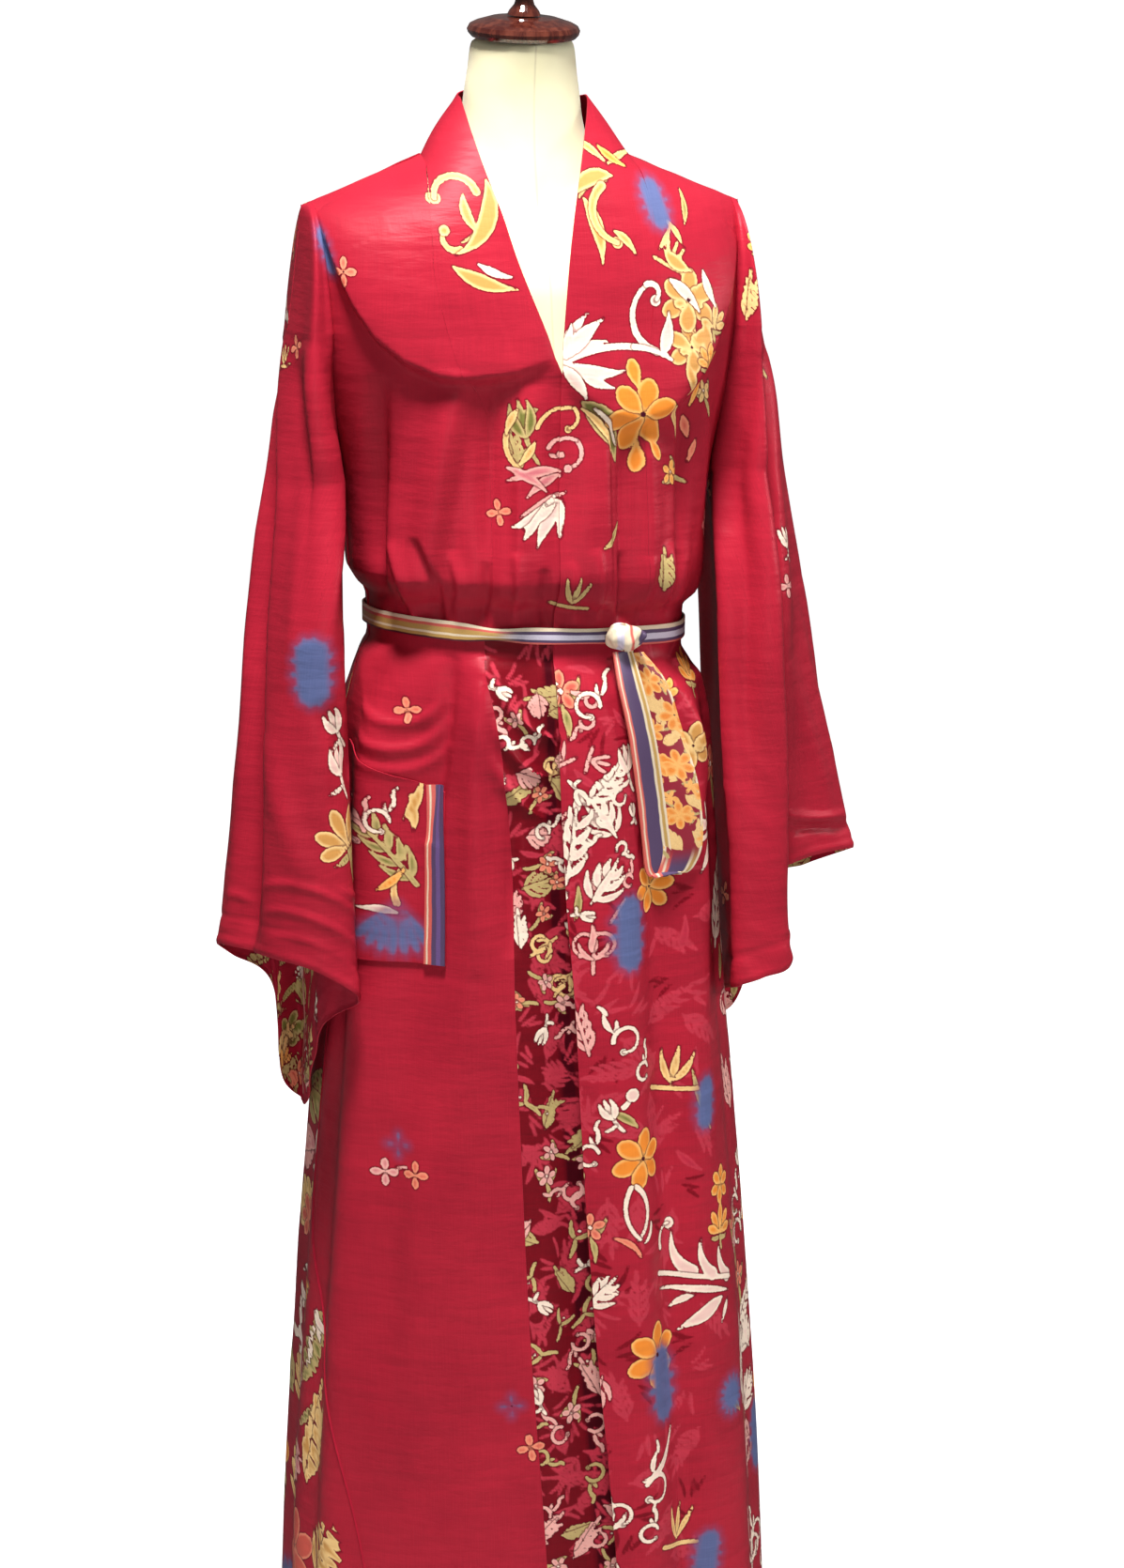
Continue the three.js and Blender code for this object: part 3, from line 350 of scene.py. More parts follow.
def over_shoulder(x, y, top_x, arc):
    """Places on the way from x, y at the chest up over the shoulder, to top_x on its line at 90 degrees."""
    turn = np.radians(arc)
    x = mix(x, top_x, np.sin(turn))
    return np.stack(np.broadcast_arrays(x, y * np.cos(turn), mix(CHEST, shoulder_z(x), np.sin(turn))), -1)


def skin(angle, height):
    """Outer face of the robe's body. Above CHEST the height counts degrees of the arc over the shoulder."""
    angle, height = np.broadcast_arrays(np.asarray(angle, float), np.asarray(height, float))
    level = np.minimum(height, CHEST)
    x, y = ring_point(angle, *(BODY_RINGS.at(name, level) for name in ("side", "front", "back")))
    flat_out = np.stack([x, y], -1) / np.maximum(np.hypot(x, y), 1)[..., None]
    longer = 1 + folds_at(angle, level) / np.maximum(np.hypot(x, y), 1)
    x, y = x * longer, y * longer
    waist = 1 - ease((np.abs(level - BELT) - SASH_REACH) / SASH_REACH)
    below = np.stack([x, y, level + SASH_FALL * waist * x], -1)
    arc = np.maximum(height - CHEST, 0)
    above = over_shoulder(x, y, x * (1 + SPREAD), arc)
    place = np.where((height > CHEST)[..., None], above, below)
    turn = np.radians(arc)[..., None]
    out = np.concatenate([flat_out * np.cos(turn), np.sin(turn)], -1)
    around, up = girth(angle, level), place[..., 2]
    gathered = 0.7 + 1.8 * bell(up - BELT, GATHERS)
    gathered = gathered + 0.5 * ease((CHEST - up) / 60) * ease((up - BELT) / 60)
    clear = ease((np.abs(up - BELT) - 12) / 20)
    push = creases_at(CREASES, around, up) * (y < 0) + crumple(around, up, 4) * gathered * clear
    return place + out * push[..., None]


def angle_of_x(x, height):
    """The angle at which the body's front face lies at x."""
    arc = np.maximum(0, height - CHEST)
    side = BODY_RINGS.at("side", np.minimum(height, CHEST)) * (1 + SPREAD * np.sin(np.radians(arc)))
    share = np.minimum(1, np.abs(x) / side) ** (ROUNDNESS / 2)
    return np.sign(x) * np.degrees(np.arcsin(share))


def line_angle(line, height):
    """The angle of a seam or free edge of the fronts. Over the shoulder its x and its height depend on each
    other, so they are found by turns."""
    height = np.asarray(height, float)
    rise = np.sin(np.radians(np.maximum(0, height - CHEST)))
    level = np.minimum(height, CHEST)
    x = FRONT_LINES.at(line, level)
    for _ in range(8):
        x = FRONT_LINES.at(line, mix(level, shoulder_z(x), rise))
    return angle_of_x(x, height)


GAP_ANGLE = math.degrees(0.8 * GAP / BODY_SIDE)  # a little over half a gap, in degrees


def side_angle(side, height):
    return SIDE_LINES.at("right" if side < 0 else "left", np.minimum(height, CHEST))


# Sleeves, by side: a row for each fold that runs down the tube, from the front inner fold round the outside
# to the back inner fold, and then the inner wall. x and y at the drop shoulder seam, the underarm, the belt
# and the cuff, and z of the cuff's edge.
SLEEVES = {
    -1: [
        (182, -50, 170, -10, 184, -82, 178, -104, 740),
        (192, -62, 186, -58, 204, -100, 215, -114, 770),
        (204, -66, 206, -70, 228, -92, 250, -92, 780),
        (208, -44, 217, -46, 236, -58, 266, -58, 780),
        (214, -4, 230, -2, 246, -2, 286, -2, 775),
        (209, 38, 221, 42, 238, 46, 264, 44, 752),
        (203, 60, 204, 66, 222, 72, 224, 66, 718),
        (198, 64, 194, 66, 212, 80, 216, 64, 630),
        (191, 60, 184, 56, 200, 76, 195, 74, 602),
        (182, 48, 170, 10, 186, 50, 198, 32, 614),
        (182, 0, 170, 0, 182, -14, 197, -34, 700),
    ],
    1: [
        (182, -50, 170, -10, 166, -76, 172, -96, 727),
        (191, -62, 184, -56, 184, -96, 196, -110, 738),
        (202, -67, 203, -72, 212, -94, 226, -96, 748),
        (206, -48, 208, -48, 214, -60, 218, -62, 800),
        (212, -28, 224, -32, 236, -44, 242, -46, 828),
        (220, -3, 245, -2, 266, -2, 318, -2, 829),
        (214, 36, 230, 40, 248, 44, 286, 40, 806),
        (206, 58, 212, 64, 228, 64, 256, 54, 786),
        (199, 63, 198, 66, 214, 70, 230, 60, 682),
        (192, 58, 184, 56, 198, 68, 208, 58, 662),
        (182, 48, 170, 10, 185, 48, 202, 32, 690),
        (182, 0, 170, 0, 178, -14, 200, -32, 710),
    ],
}
SLEEVE_BELT = 1090
CUFF_LEVEL = 2.9999  # where a sleeve's grid ends, a hair short of 3
INNER_WALL = 2  # table rows at the end that are the inner wall


def outer_fold(side):
    return next(i for i, row in enumerate(SLEEVES[side]) if row[1] > -5)


def last_fold(side):
    return len(SLEEVES[side]) - INNER_WALL


def curve_weights(share):
    """Weights of the four points round a stretch of a smooth curve."""
    return (
        -0.5 * share + share**2 - 0.5 * share**3,
        1 - 2.5 * share**2 + 1.5 * share**3,
        0.5 * share + 2 * share**2 - 1.5 * share**3,
        -0.5 * share**2 + 0.5 * share**3,
    )


def sleeve_skin(side, place, level):
    """Outer face of a sleeve. place counts the table's rows, and level is 0 at the seam, 1 at the underarm,
    2 at the belt and 3 at the cuff."""
    table = np.array(SLEEVES[side], float)
    place, level = np.broadcast_arrays(np.asarray(place, float), np.asarray(level, float))
    low = np.floor(place).astype(int)
    total = np.zeros(place.shape + (3,))
    for offset, weight in zip((-1, 0, 1, 2), curve_weights(place - low)):
        row = (low + offset) % len(table)
        total += weight[..., None] * sleeve_fold(table, side, row, level)
    total[..., 0] *= side
    return total


def sleeve_fold(table, side, row, level):
    """Places on whole rows of the table. Down to the underarm, the inner folds lie on the side seams."""
    heights = [np.full(row.shape, float(z)) for z in (CHEST, UNDERARM, SLEEVE_BELT)]
    x_keys, y_keys = table[row][..., 0:8:2], table[row][..., 1:8:2]
    z_keys = np.stack(heights + [table[row, -1]], -1)
    index = np.clip(np.floor(level).astype(int), 0, 2)
    place = []
    for keys in (x_keys, y_keys, z_keys):
        low, high = (np.take_along_axis(keys, index[..., None] + step, -1)[..., 0] for step in (0, 1))
        place.append(mix(low, high, level - index))
    x, y, z = place
    seam = side_angle(side, z)
    for edge_row, angle in ((0, seam), (last_fold(side), 180 - seam)):
        on_edge = (row == edge_row) & (level <= 1)
        edge = skin(side * angle, z)
        x = np.where(on_edge, np.abs(edge[..., 0]) + GAP, x)
        y = np.where(on_edge, edge[..., 1], y)
    return np.stack([x, y, z], -1)


def shoulder_end(side, place, arc):
    """Outer end of the shoulder, which hangs as the top of the sleeve."""
    outer, last = outer_fold(side), last_fold(side)
    share = np.where(place <= outer, place / outer, (last - place) / (last - outer))
    base = sleeve_skin(side, place, 0.0)
    edge = np.abs(skin(side * side_angle(side, CHEST), CHEST)[..., 0]) * (1 + SPREAD)
    return over_shoulder(base[..., 0], base[..., 1], side * mix(edge, SHOULDER_CORNER, share), arc)


# ------------------------------------------------------------------------------
# Printed pattern: for each colour, how many millimetres a place lies inside it, so that edges stay crisp

# painted_shadow is a painted shadow, not a printed colour; plum is printed, and on the right band below the
# sash it is partly painted shade
COLOURS = ("plum", "painted_shadow", "rose", "olive", "gold", "orange", "coral", "pink", "cream", "blue", "ink")
# Printed in two layers by turns, so that strokes that touch keep an outline between them
DOUBLE = COLOURS[3:9]
LAYERS = [name for colour in COLOURS for name in (colour, colour + "_over")[: 1 + (colour in DOUBLE)]]
EDGE = 9.0  # what a print holds at the edge of a stroke, with a millimetre more for each one further inside
FILLED = 2 * EDGE
LEAST = 1.5 * FINENESS  # half width of the finest stroke
BACK_LEAST = 0.66 * BACK_STEP
WIDTHS = {  # how the width runs along a stroke
    "stem": lambda t: 1 - 0.45 * t,
    "leaf": lambda t: np.sin(np.pi * t**0.8) ** 1.15,
    "petal": lambda t: np.sin(np.pi * t**1.7 * 0.98) ** 0.7,
    "comma": lambda t: (1 - t) ** 0.7,
    "bar": lambda t: 1 + 0 * t,
}


class Print:
    """The pattern on one piece, at places in millimetres across the flat cloth and up it."""

    def __init__(self, across, up, least=LEAST):
        across, up = np.broadcast_arrays(across, up)
        self.least = least
        self.across, self.up = across.reshape(-1), up.reshape(-1)
        self.fields = {layer: np.zeros(self.across.shape) for layer in LAYERS}

    def stroke(self, layer, path, widths):
        near, t, distance = near_path(self.across, self.up, path, widths.max() + EDGE)
        if len(near):
            inside = EDGE + (mix(widths[:-1], widths[1:], t) - distance).max(1)
            field = self.fields[layer]
            field[near] = np.maximum(field[near], inside)


class Pen:
    """Draws on a print from a spot, turned by degrees to the left, scaled, and mirrored if mirror is -1."""

    def __init__(self, cloth, across=0.0, up=0.0, turn=0.0, size=1.0, mirror=1):
        self.cloth, self.spot = cloth, np.array([across, up], float)
        self.turn, self.size, self.mirror = math.radians(turn), size, mirror
        self.strokes = 0

    def line(self, colour, start, heading, length, curl=0.0, width=4.0, shape="leaf", points=9):
        """A curved stroke. heading 0 is across and 90 is up, and curl is how far it turns left on its way."""
        t = np.linspace(0, 1, points)
        angle = np.radians(heading + curl * (t[:-1] + t[1:]) / 2)
        run = np.stack([np.cos(angle), np.sin(angle)], -1) * length / (points - 1)
        path = np.concatenate([[start], start + np.cumsum(run, 0)])
        x, y = path[:, 0] * self.mirror, path[:, 1]
        c, s = math.cos(self.turn), math.sin(self.turn)
        turned = np.stack([x * c - y * s, x * s + y * c], -1) * self.size + self.spot
        least = self.cloth.least * np.minimum(1, 5 * np.minimum(t + 0.1, 1.1 - t))
        self.strokes += 1
        over = "_over" if colour in DOUBLE and self.strokes % 2 else ""
        self.cloth.stroke(colour + over, turned, np.maximum(width / 2 * WIDTHS[shape](t) * self.size, least))
        return path[-1]

    def reach(self, colour, start, end, curl, width, shape):
        """A stroke between two places, bent by curl degrees."""
        chord = np.subtract(end, start)
        bend = math.radians(curl) / 2
        length = math.hypot(*chord) * (bend / math.sin(bend) if bend else 1)
        heading = math.degrees(math.atan2(chord[1], chord[0])) - curl / 2
        self.line(colour, start, heading, length, curl, width, shape)

    def ball(self, colour, place, radius):
        self.line(colour, place, 0, 0.01, width=2 * radius, shape="bar", points=2)


# Motifs, about 60 mm tall at size 1, growing up from their spot unless they are round


def petals(pen, colour, place, count, first, length, width):
    """A ring of petals. first is the heading of one of them."""
    for i in range(count):
        pen.line(colour, place, 360 / count * i + first, length, 0, width, "petal")


def fringe(pen, colour, wide, tall):
    """Short petals that stand off an oval."""
    count = 14
    for i in range(count):
        turn = math.tau * i / count
        pen.line(colour, (wide * math.cos(turn), tall * math.sin(turn)), 360 / count * i, 15, 10, 10, "petal")


def bloom(pen, colour):
    """A full flower with two rings of petals."""
    petals(pen, colour, (0, 0), 6, 12, 29, 19)
    petals(pen, "gold", (0, 0), 5, 40, 16, 9)
    pen.ball("ink", (0, 0), 2.6)


def half_bloom(pen, colour):
    for heading, length in ((20, 24), (54, 31), (90, 34), (126, 31), (160, 24)):
        pen.line(colour, (0, 0), heading, length, 0, 11, "petal")
    pen.line("gold", (0, 2), 90, 17, 0, 5, "comma")
    pen.line("olive", (0, 0), -90, 20, 30, 4, "stem")
    pen.line("olive", (0, -4), 205, 18, -50, 6)
    pen.line("olive", (0, -4), -25, 18, 50, 6)


def plume(pen, colour):
    """A tall soft flower head."""
    pen.line(colour, (0, -18), 92, 36, -4, 31, "bar")
    fringe(pen, colour, 5, 19)


def fan(pen, colour):
    """A flower seen from its side, open downwards."""
    for i in range(7):
        pen.line(colour, (0.8 * i - 2.4, 22), 234 + 12 * i, 50 - abs(3 - i), 0, 13, "petal")
    pen.line("gold", (0, 20), 120, 30, -60, 6, "stem")


def pompon(pen, colour):
    pen.ball(colour, (0, 0), 18)
    fringe(pen, colour, 8, 8)


def acanthus(pen, colour):
    """A leaf of seven pointed lobes that stand off its middle one."""
    pen.line(colour, (0, 0), 88, 52, 6, 7)
    for start, length, lean in ((6, 30, 64), (17, 27, 54), (29, 20, 44)):
        for side in (-1, 1):
            pen.line(colour, (side, start), 90 - side * lean, length, side * 46, 7)


def scroll(pen, colour):
    end = pen.line(colour, (0, 0), 90, 66, 290, 4.6, "stem", 17)
    pen.ball(colour, end, 3.6)
    pen.line(colour, (0, 12), 50, 22, 50, 6)
    pen.line(colour, (0, 4), 128, 20, -46, 5.5)
    pen.line(colour, (3, 30), 74, 14, -40, 4.5)


def double_scroll(pen, colour):
    """Two scrolls back to back over a pair of leaves."""
    for side in (-1, 1):
        end = pen.line(colour, (side, 18), 90 - side * 34, 62, side * 285, 4, "stem", 17)
        pen.ball(colour, end, 3.2)
        pen.line(colour, (0, 8), 90 - side * 70, 26, side * 60, 6)
    pen.line(colour, (0, 22), 90, 26, 0, 6.5)
    pen.line(colour, (0, -8), 90, 26, 0, 3.6, "stem")


def spray(pen, colour):
    """A stem with pairs of narrow leaves."""
    pen.line(colour, (0, 0), 90, 58, 10, 3.6, "stem")
    for share in (0.08, 0.3, 0.52, 0.74):
        for side in (-1, 1):
            pen.line(colour, (-2 * share, 58 * share), 90 - side * 46, 25 - 9 * share, side * 34, 5.6)
    pen.line(colour, (-4, 54), 96, 18, 0, 6)


def comb(pen, colour):
    """A stem that lies across, with curved leaflets above it and a broad leaf below."""
    pen.line(colour, (2, 0), 2, 98, 2, 4.6, "bar")
    for i in range(3):
        pen.line(colour, (42 + 26 * i, 6), 164, 48 - 4 * i, -70, 13, "comma")
    pen.line(colour, (100, -8), 180, 92, 8, 7)
    pen.line(colour, (90, -14), 218, 58, 8, 15)
    pen.line(colour, (52, -15), 212, 28, 10, 7)
    pen.line(colour, (100, -16), 258, 24, 0, 6)


def sprout(pen, colour):
    for heading, curl in ((46, 36), (90, 0), (134, -36)):
        pen.line(colour, (0, 0), heading, 34, curl, 6.5)
    pen.line(colour, (-26, -5), -4, 52, 12, 4, "bar")


def floret(pen, colour):
    petals(pen, colour, (0, 0), 4, 0, 12.5, 7.5)
    pen.ball("ink", (0, 0), 1.4)


def trio(pen, colour):
    for tint, place in (("blue", (-2, 20)), ("pink", (-17, -9)), (colour, (18, -8))):
        petals(pen, tint, place, 4, 0, 13, 8)
    pen.line("pink", (-5, -4), 10, 12, 0, 3, "bar")


def tulip(pen, colour):
    for heading, curl in ((46, 60), (90, 0), (134, -60)):
        pen.line(colour, (0, 0), heading, 28, curl, 8)
    pen.line(colour, (0, 0), -90, 22, 24, 3.6, "stem")
    pen.line(colour, (0, -8), 210, 15, -40, 4.5)


def twig(pen, colour):
    """Leaves and a small open flower."""
    for heading, curl in ((30, 46), (150, -46), (-60, -40)):
        pen.line("olive", (0, 2), heading, 30, curl, 7)
    petals(pen, colour, (0, 14), 5, 18, 15.5, 9)
    pen.ball("cream", (0, 14), 2.4)


def leaf(pen, colour):
    pen.line(colour, (0, 0), 90, 42, 30, 9)


def brush(pen, colour):
    """Three loose strokes side by side."""
    for i, start in enumerate(((-9, -12), (0, -16), (8, -9))):
        pen.line(colour, start, 84 - 10 * i, 34 - 5 * i, 30 - 24 * i, 6)


ROW_RISE = 0.87  # of a row of scattered motifs, as a share of their spacing
LOOSE = 0.16  # how far a scattered motif may lie from its place, as a share of their spacing


def scatter(cloth, across, up, spacing, size, seed, choice):
    """Fills a field with motifs on a loose diagonal grid. across and up are its limits."""
    random = np.random.default_rng(seed)
    rise = spacing * ROW_RISE
    for row in range(int((up[1] - up[0]) / rise)):
        for column in range(int((across[1] - across[0]) / spacing) + 1):
            x = across[0] + (column + 0.5 * (row % 2)) * spacing + random.uniform(-LOOSE, LOOSE) * spacing
            z = up[0] + (row + 0.5) * spacing * ROW_RISE + random.uniform(-LOOSE, LOOSE) * spacing
            motif, colour = choice[random.integers(len(choice))]
            motif(Pen(cloth, x, z, random.uniform(0, 360), size * random.uniform(0.85, 1.15)), colour)


def draw(cloth, motifs, strokes=(), shift=(0, 0)):
    """Motifs and strokes from their tables, shifted across and up."""
    for motif, colour, across, up, turn, size, *mirror in motifs:
        motif(Pen(cloth, across + shift[0], up + shift[1], turn, size, *mirror), colour)
    pen = Pen(cloth, *shift)
    for colour, x, z, end_x, end_z, bend, width, *rest in strokes:
        shape, ball = rest or ("leaf", 0)
        pen.reach(colour, (x, z), (end_x, end_z), bend, width, shape)
        if ball:
            pen.ball(colour, (end_x, end_z), ball)


# ------------------------------------------------------------------------------
# Meshes


def unit(vectors):
    return vectors / np.maximum(np.linalg.norm(vectors, axis=-1, keepdims=True), 1e-9)


def normals_of(grid, joined=False):
    """Normals of a grid of points, to the right of its rows seen along its columns."""
    down = np.gradient(grid, axis=0)
    if joined:
        across = (np.roll(grid, -1, 1) - np.roll(grid, 1, 1)) / 2
    else:
        across = np.gradient(grid, axis=1)
    return unit(np.cross(down, across))


def widen(grid, out, joined=False):
    return grid + normals_of(grid, joined) * np.asarray(out)[..., None]


def flat_lengths(grid):
    """Lengths along the rows and down the columns of a grid, from its first column and row."""
    across = np.cumsum(np.linalg.norm(np.diff(grid, axis=1, prepend=grid[:, :1]), axis=-1), axis=1)
    down = np.cumsum(np.linalg.norm(np.diff(grid, axis=0, prepend=grid[:1]), axis=-1), axis=0)
    return across, down


def mesh_object(name, points, faces, slots):
    mesh = bpy.data.meshes.new(name)
    mesh.from_pydata((np.asarray(points) * METRE).tolist(), [], faces)
    mesh.polygons.foreach_set("material_index", slots)
    mesh.polygons.foreach_set("use_smooth", [True] * len(mesh.polygons))
    mesh.update()
    mesh.set_sharp_from_angle(angle=math.radians(60))
    piece = bpy.data.objects.new(name, mesh)
    bpy.context.scene.collection.objects.link(piece)
    return piece


def cloth_piece(name, grid, flat, wall=CLOTH, joined=False, has=None, outer=None, inner=None):
    """A closed thin shell on a grid of points, its faces pointing out. Slot 0 is its outer face and slot 1
    its inner one. flat gives the places on the flat cloth, has says which cells there are, and outer and
    inner are the prints."""
    rows, columns = grid.shape[:2]
    spans = columns if joined else columns - 1
    cells = np.ones((rows - 1, spans), bool) if has is None else has
    lining = grid - normals_of(grid, joined) * wall
    number = np.arange(rows * columns).reshape(rows, columns)
    after = np.roll(number, -1, 1) if joined else number[:, 1:]
    a, b = number[:-1, :spans], after[:-1, :spans]
    c, d = after[1:, :spans], number[1:, :spans]
    quads = np.stack([a, d, c, b], -1)[cells]
    count = rows * columns
    edges = np.concatenate([quads[:, [i, (i + 1) % 4]] for i in range(4)])
    keys = edges[:, 0] * count + edges[:, 1]
    back_keys = edges[:, 1] * count + edges[:, 0]
    rim = edges[~np.isin(keys, back_keys)]
    rims = np.stack([rim[:, 1], rim[:, 0], rim[:, 0] + count, rim[:, 1] + count], -1)
    faces = np.concatenate([quads, quads[:, ::-1] + count, rims])
    slots = np.zeros(len(faces), int)
    slots[len(quads):2 * len(quads)] = 1
    points = np.concatenate([grid.reshape(-1, 3), lining.reshape(-1, 3)])
    used = np.unique(faces)
    renumber = np.zeros(len(points), int)
    renumber[used] = np.arange(len(used))
    piece = mesh_object(name, points[used], renumber[faces].tolist(), slots.tolist())
    places = [np.concatenate([np.broadcast_to(part, (rows, columns)).reshape(-1)] * 2)[used] for part in flat]
    add_uv(piece, *places)
    for layer in LAYERS:
        sides = [pattern.fields[layer] if pattern else np.zeros(count) for pattern in (outer, inner)]
        inside = np.concatenate(sides)[used]
        if inside.max() > 0:
            attribute = piece.data.attributes.new(layer, "FLOAT", "POINT")
            attribute.data.foreach_set("value", inside.astype(np.float32))
    return piece


def add_uv(piece, across, down):
    corner = np.zeros(len(piece.data.loops), int)
    piece.data.loops.foreach_get("vertex_index", corner)
    layer = piece.data.uv_layers.new(name="cut")
    places = np.stack([across[corner], down[corner]], -1) * METRE
    layer.data.foreach_set("uv", places.astype(np.float32).reshape(-1))


def steps(length, step=STEP):
    return max(2, int(round(length / step)) + 1)


# ------------------------------------------------------------------------------
# Pieces of the robe

# Rough sizes that set how fine each grid is
ARC_LENGTH = 200  # of the quarter arc over the shoulder
FRONT_WIDTH = 215
END_WIDTH = 70  # of the shoulder's end, beyond the armhole
BACK_HALF = 290
BAND_WIDTH = 78
SLEEVE_DROP = 370  # from the belt to the cuff

BACK_PARTS = 67  # of the back's half width at the shoulder
NECK_PARTS = 23.5  # of them, that the neck hole takes
UPPER_BACK = 1160  # above this height the back's edge is as far round as the front's
END_CLEAR = 0.03  # of a table row, between the shoulder's front and back ends and the outer fold


def row_heights(step):
    """Rows over the shoulder, as for skin, and rows from CHEST down to the hem."""
    over = CHEST + 90 * np.linspace(1, 0, steps(ARC_LENGTH, step))[:-1]
    return over, np.linspace(CHEST, HEM, steps(CHEST - HEM, step))


def keep_apart(grid, face, arc):
    """Keeps front and back half a gap each from the shoulder line."""
    grid[..., 1] -= face * (GAP / 2) * np.sin(np.radians(arc))


def end_grid(side, face, over, below, columns):
    """Grid of the shoulder's end beyond the armhole's edge. Its rows below the first of below stay empty."""
    outer, last = outer_fold(side), last_fold(side)
    reach = np.linspace(0, (outer if face > 0 else last - outer) - END_CLEAR, columns)
    place = reach if face > 0 else last - reach
    arc = (np.append(over, below[0]) - CHEST)[:, None]
    end = shoulder_end(side, place[None, :], arc)
    return np.concatenate([end, np.repeat(end[-1:], len(below) - 1, 0)])[:, 1:]


def make_front(side, add_print):
    over, below = row_heights(STEP)
    all_heights = np.concatenate([over, below])
    heights = all_heights[:, None]
    name = "right" if side < 0 else "left"
    start = line_angle(f"{name}_seam", all_heights)[:, None] + side * GAP_ANGLE
    stop = side * (side_angle(side, all_heights)[:, None] - GAP_ANGLE)
    columns = steps(FRONT_WIDTH)
    angle = mix(start, stop, np.linspace(0, 1, columns)[None, :])
    end = end_grid(side, 1, over, below, steps(END_WIDTH))
    grid = np.concatenate([skin(angle, heights), end], 1)
    keep_apart(grid, 1, np.maximum(0, heights - CHEST))
    has = np.ones((grid.shape[0] - 1, grid.shape[1] - 1), bool)
    has[len(over):, columns - 1:] = False
    across = flat_lengths(grid)[0]
    across = side * (across - across[:, columns - 1:columns])
    across[:, :columns] = girth(angle, np.minimum(heights, CHEST))
    across[:, columns:] += across[:, columns - 1:columns]
    if side < 0:
        grid, has, across = grid[:, ::-1], has[:, ::-1], across[:, ::-1]
    pattern = Print(across, grid[..., 2])
    add_print(pattern)
    return cloth_piece(f"{name}_front", grid, (across, grid[..., 2]), has=has, outer=pattern)


def make_back(add_print):
    half, end_count = steps(BACK_HALF, BACK_STEP), steps(END_WIDTH, BACK_STEP)
    share = np.linspace(0, 1, half)
    neck = np.minimum(1, share / (NECK_PARTS / BACK_PARTS))
    top = 90 - (90 - BACK_NECK_ARC) * np.sqrt(1 - neck**2)
    over, below = row_heights(BACK_STEP)
    rise = (over[:, None] - CHEST) / 90
    heights = np.concatenate([CHEST + rise * top[None, :], np.repeat(below[:, None], half, 1)])
    end_heights = np.repeat(np.concatenate([over, below])[:, None], end_count - 1, 1)
    all_heights = np.concatenate([heights, end_heights], 1)
    halves = []
    for side in (-1, 1):
        front = side_angle(side, heights)
        end = np.where(heights > UPPER_BACK, front, 180 - front) - GAP_ANGLE
        panel = skin(180 - side * share[None, :] * end, heights)
        grid = np.concatenate([panel, end_grid(side, -1, over, below, end_count)], 1)
        keep_apart(grid, -1, np.maximum(0, all_heights - CHEST))
        halves.append(grid)
    ends = end_count - 1
    grid = np.concatenate([halves[1][:, :0:-1], halves[0]], 1)
    has = np.ones((grid.shape[0] - 1, grid.shape[1] - 1), bool)
    has[len(over):, :ends] = False
    has[len(over):, -ends:] = False
    across = flat_lengths(grid)[0]
    across = across - across[:, half - 1 + ends][:, None]
    pattern = Print(across, grid[..., 2], BACK_LEAST)
    add_print(pattern)
    return cloth_piece("back_panel", grid, (across, grid[..., 2]), has=has, outer=pattern)


# Neckband where it stands round the neck, from the side of the neck to the middle of the back: place of its
# free edge, degrees of the arc where its seam meets the back, and parts of the back's half width there
COLLAR = [
    (58, -8, 1524, 90, NECK_PARTS),
    (56, 16, 1526, 66, 20.5),
    (48, 36, 1529, 52, 15),
    (31, 57, 1531, 45, 8),
    (0, 68, 1532, 42, 0),
]
# Free edge on its way up from the chest, by side, at equal steps of the arc over the shoulder
BAND_RISE = {
    -1: [(-28, -99, 1384), (-39, -84, 1426), (-49, -64, 1462), (-55, -38, 1495)],
    1: [(16, -101, 1384), (24, -88, 1424), (34, -70, 1460), (46, -42, 1494)],
}
COLLAR_STRETCH = 40  # rough length of the band between two of these places
COLLAR_PUFF = 3
COLLAR_CLEAR = 0.4  # degrees that the band's seam stays above the back


def band_lift(side, share, height):
    """How far a band stands off its front, by the share of the way from the seam to its free edge."""
    below = ease((1330 - height) / 60)
    skirt = ease((1040 - height) / 150)
    waist = 1 - ease((np.abs(height - BELT) - 20) / 40)
    edge = mix(-2, -2.8, waist) - 11 * skirt if side < 0 else mix(3.2 + 5 * skirt, 0, waist)
    return edge * below * ease(share * 1.15)


def smooth_path(points, step):
    """Points of a smooth curve through the given ones, at equal shares of each stretch."""
    points = np.asarray(points, float)
    padded = np.concatenate([2 * points[:1] - points[1:2], points, 2 * points[-1:] - points[-2:-1]])
    found = []
    for i in range(len(points) - 1):
        share = np.linspace(0, 1, step, endpoint=False)
        weights = curve_weights(share)
        found.append(sum(w[:, None] * padded[i + k] for k, w in enumerate(weights)))
    return np.concatenate(found + [points[-1:]])


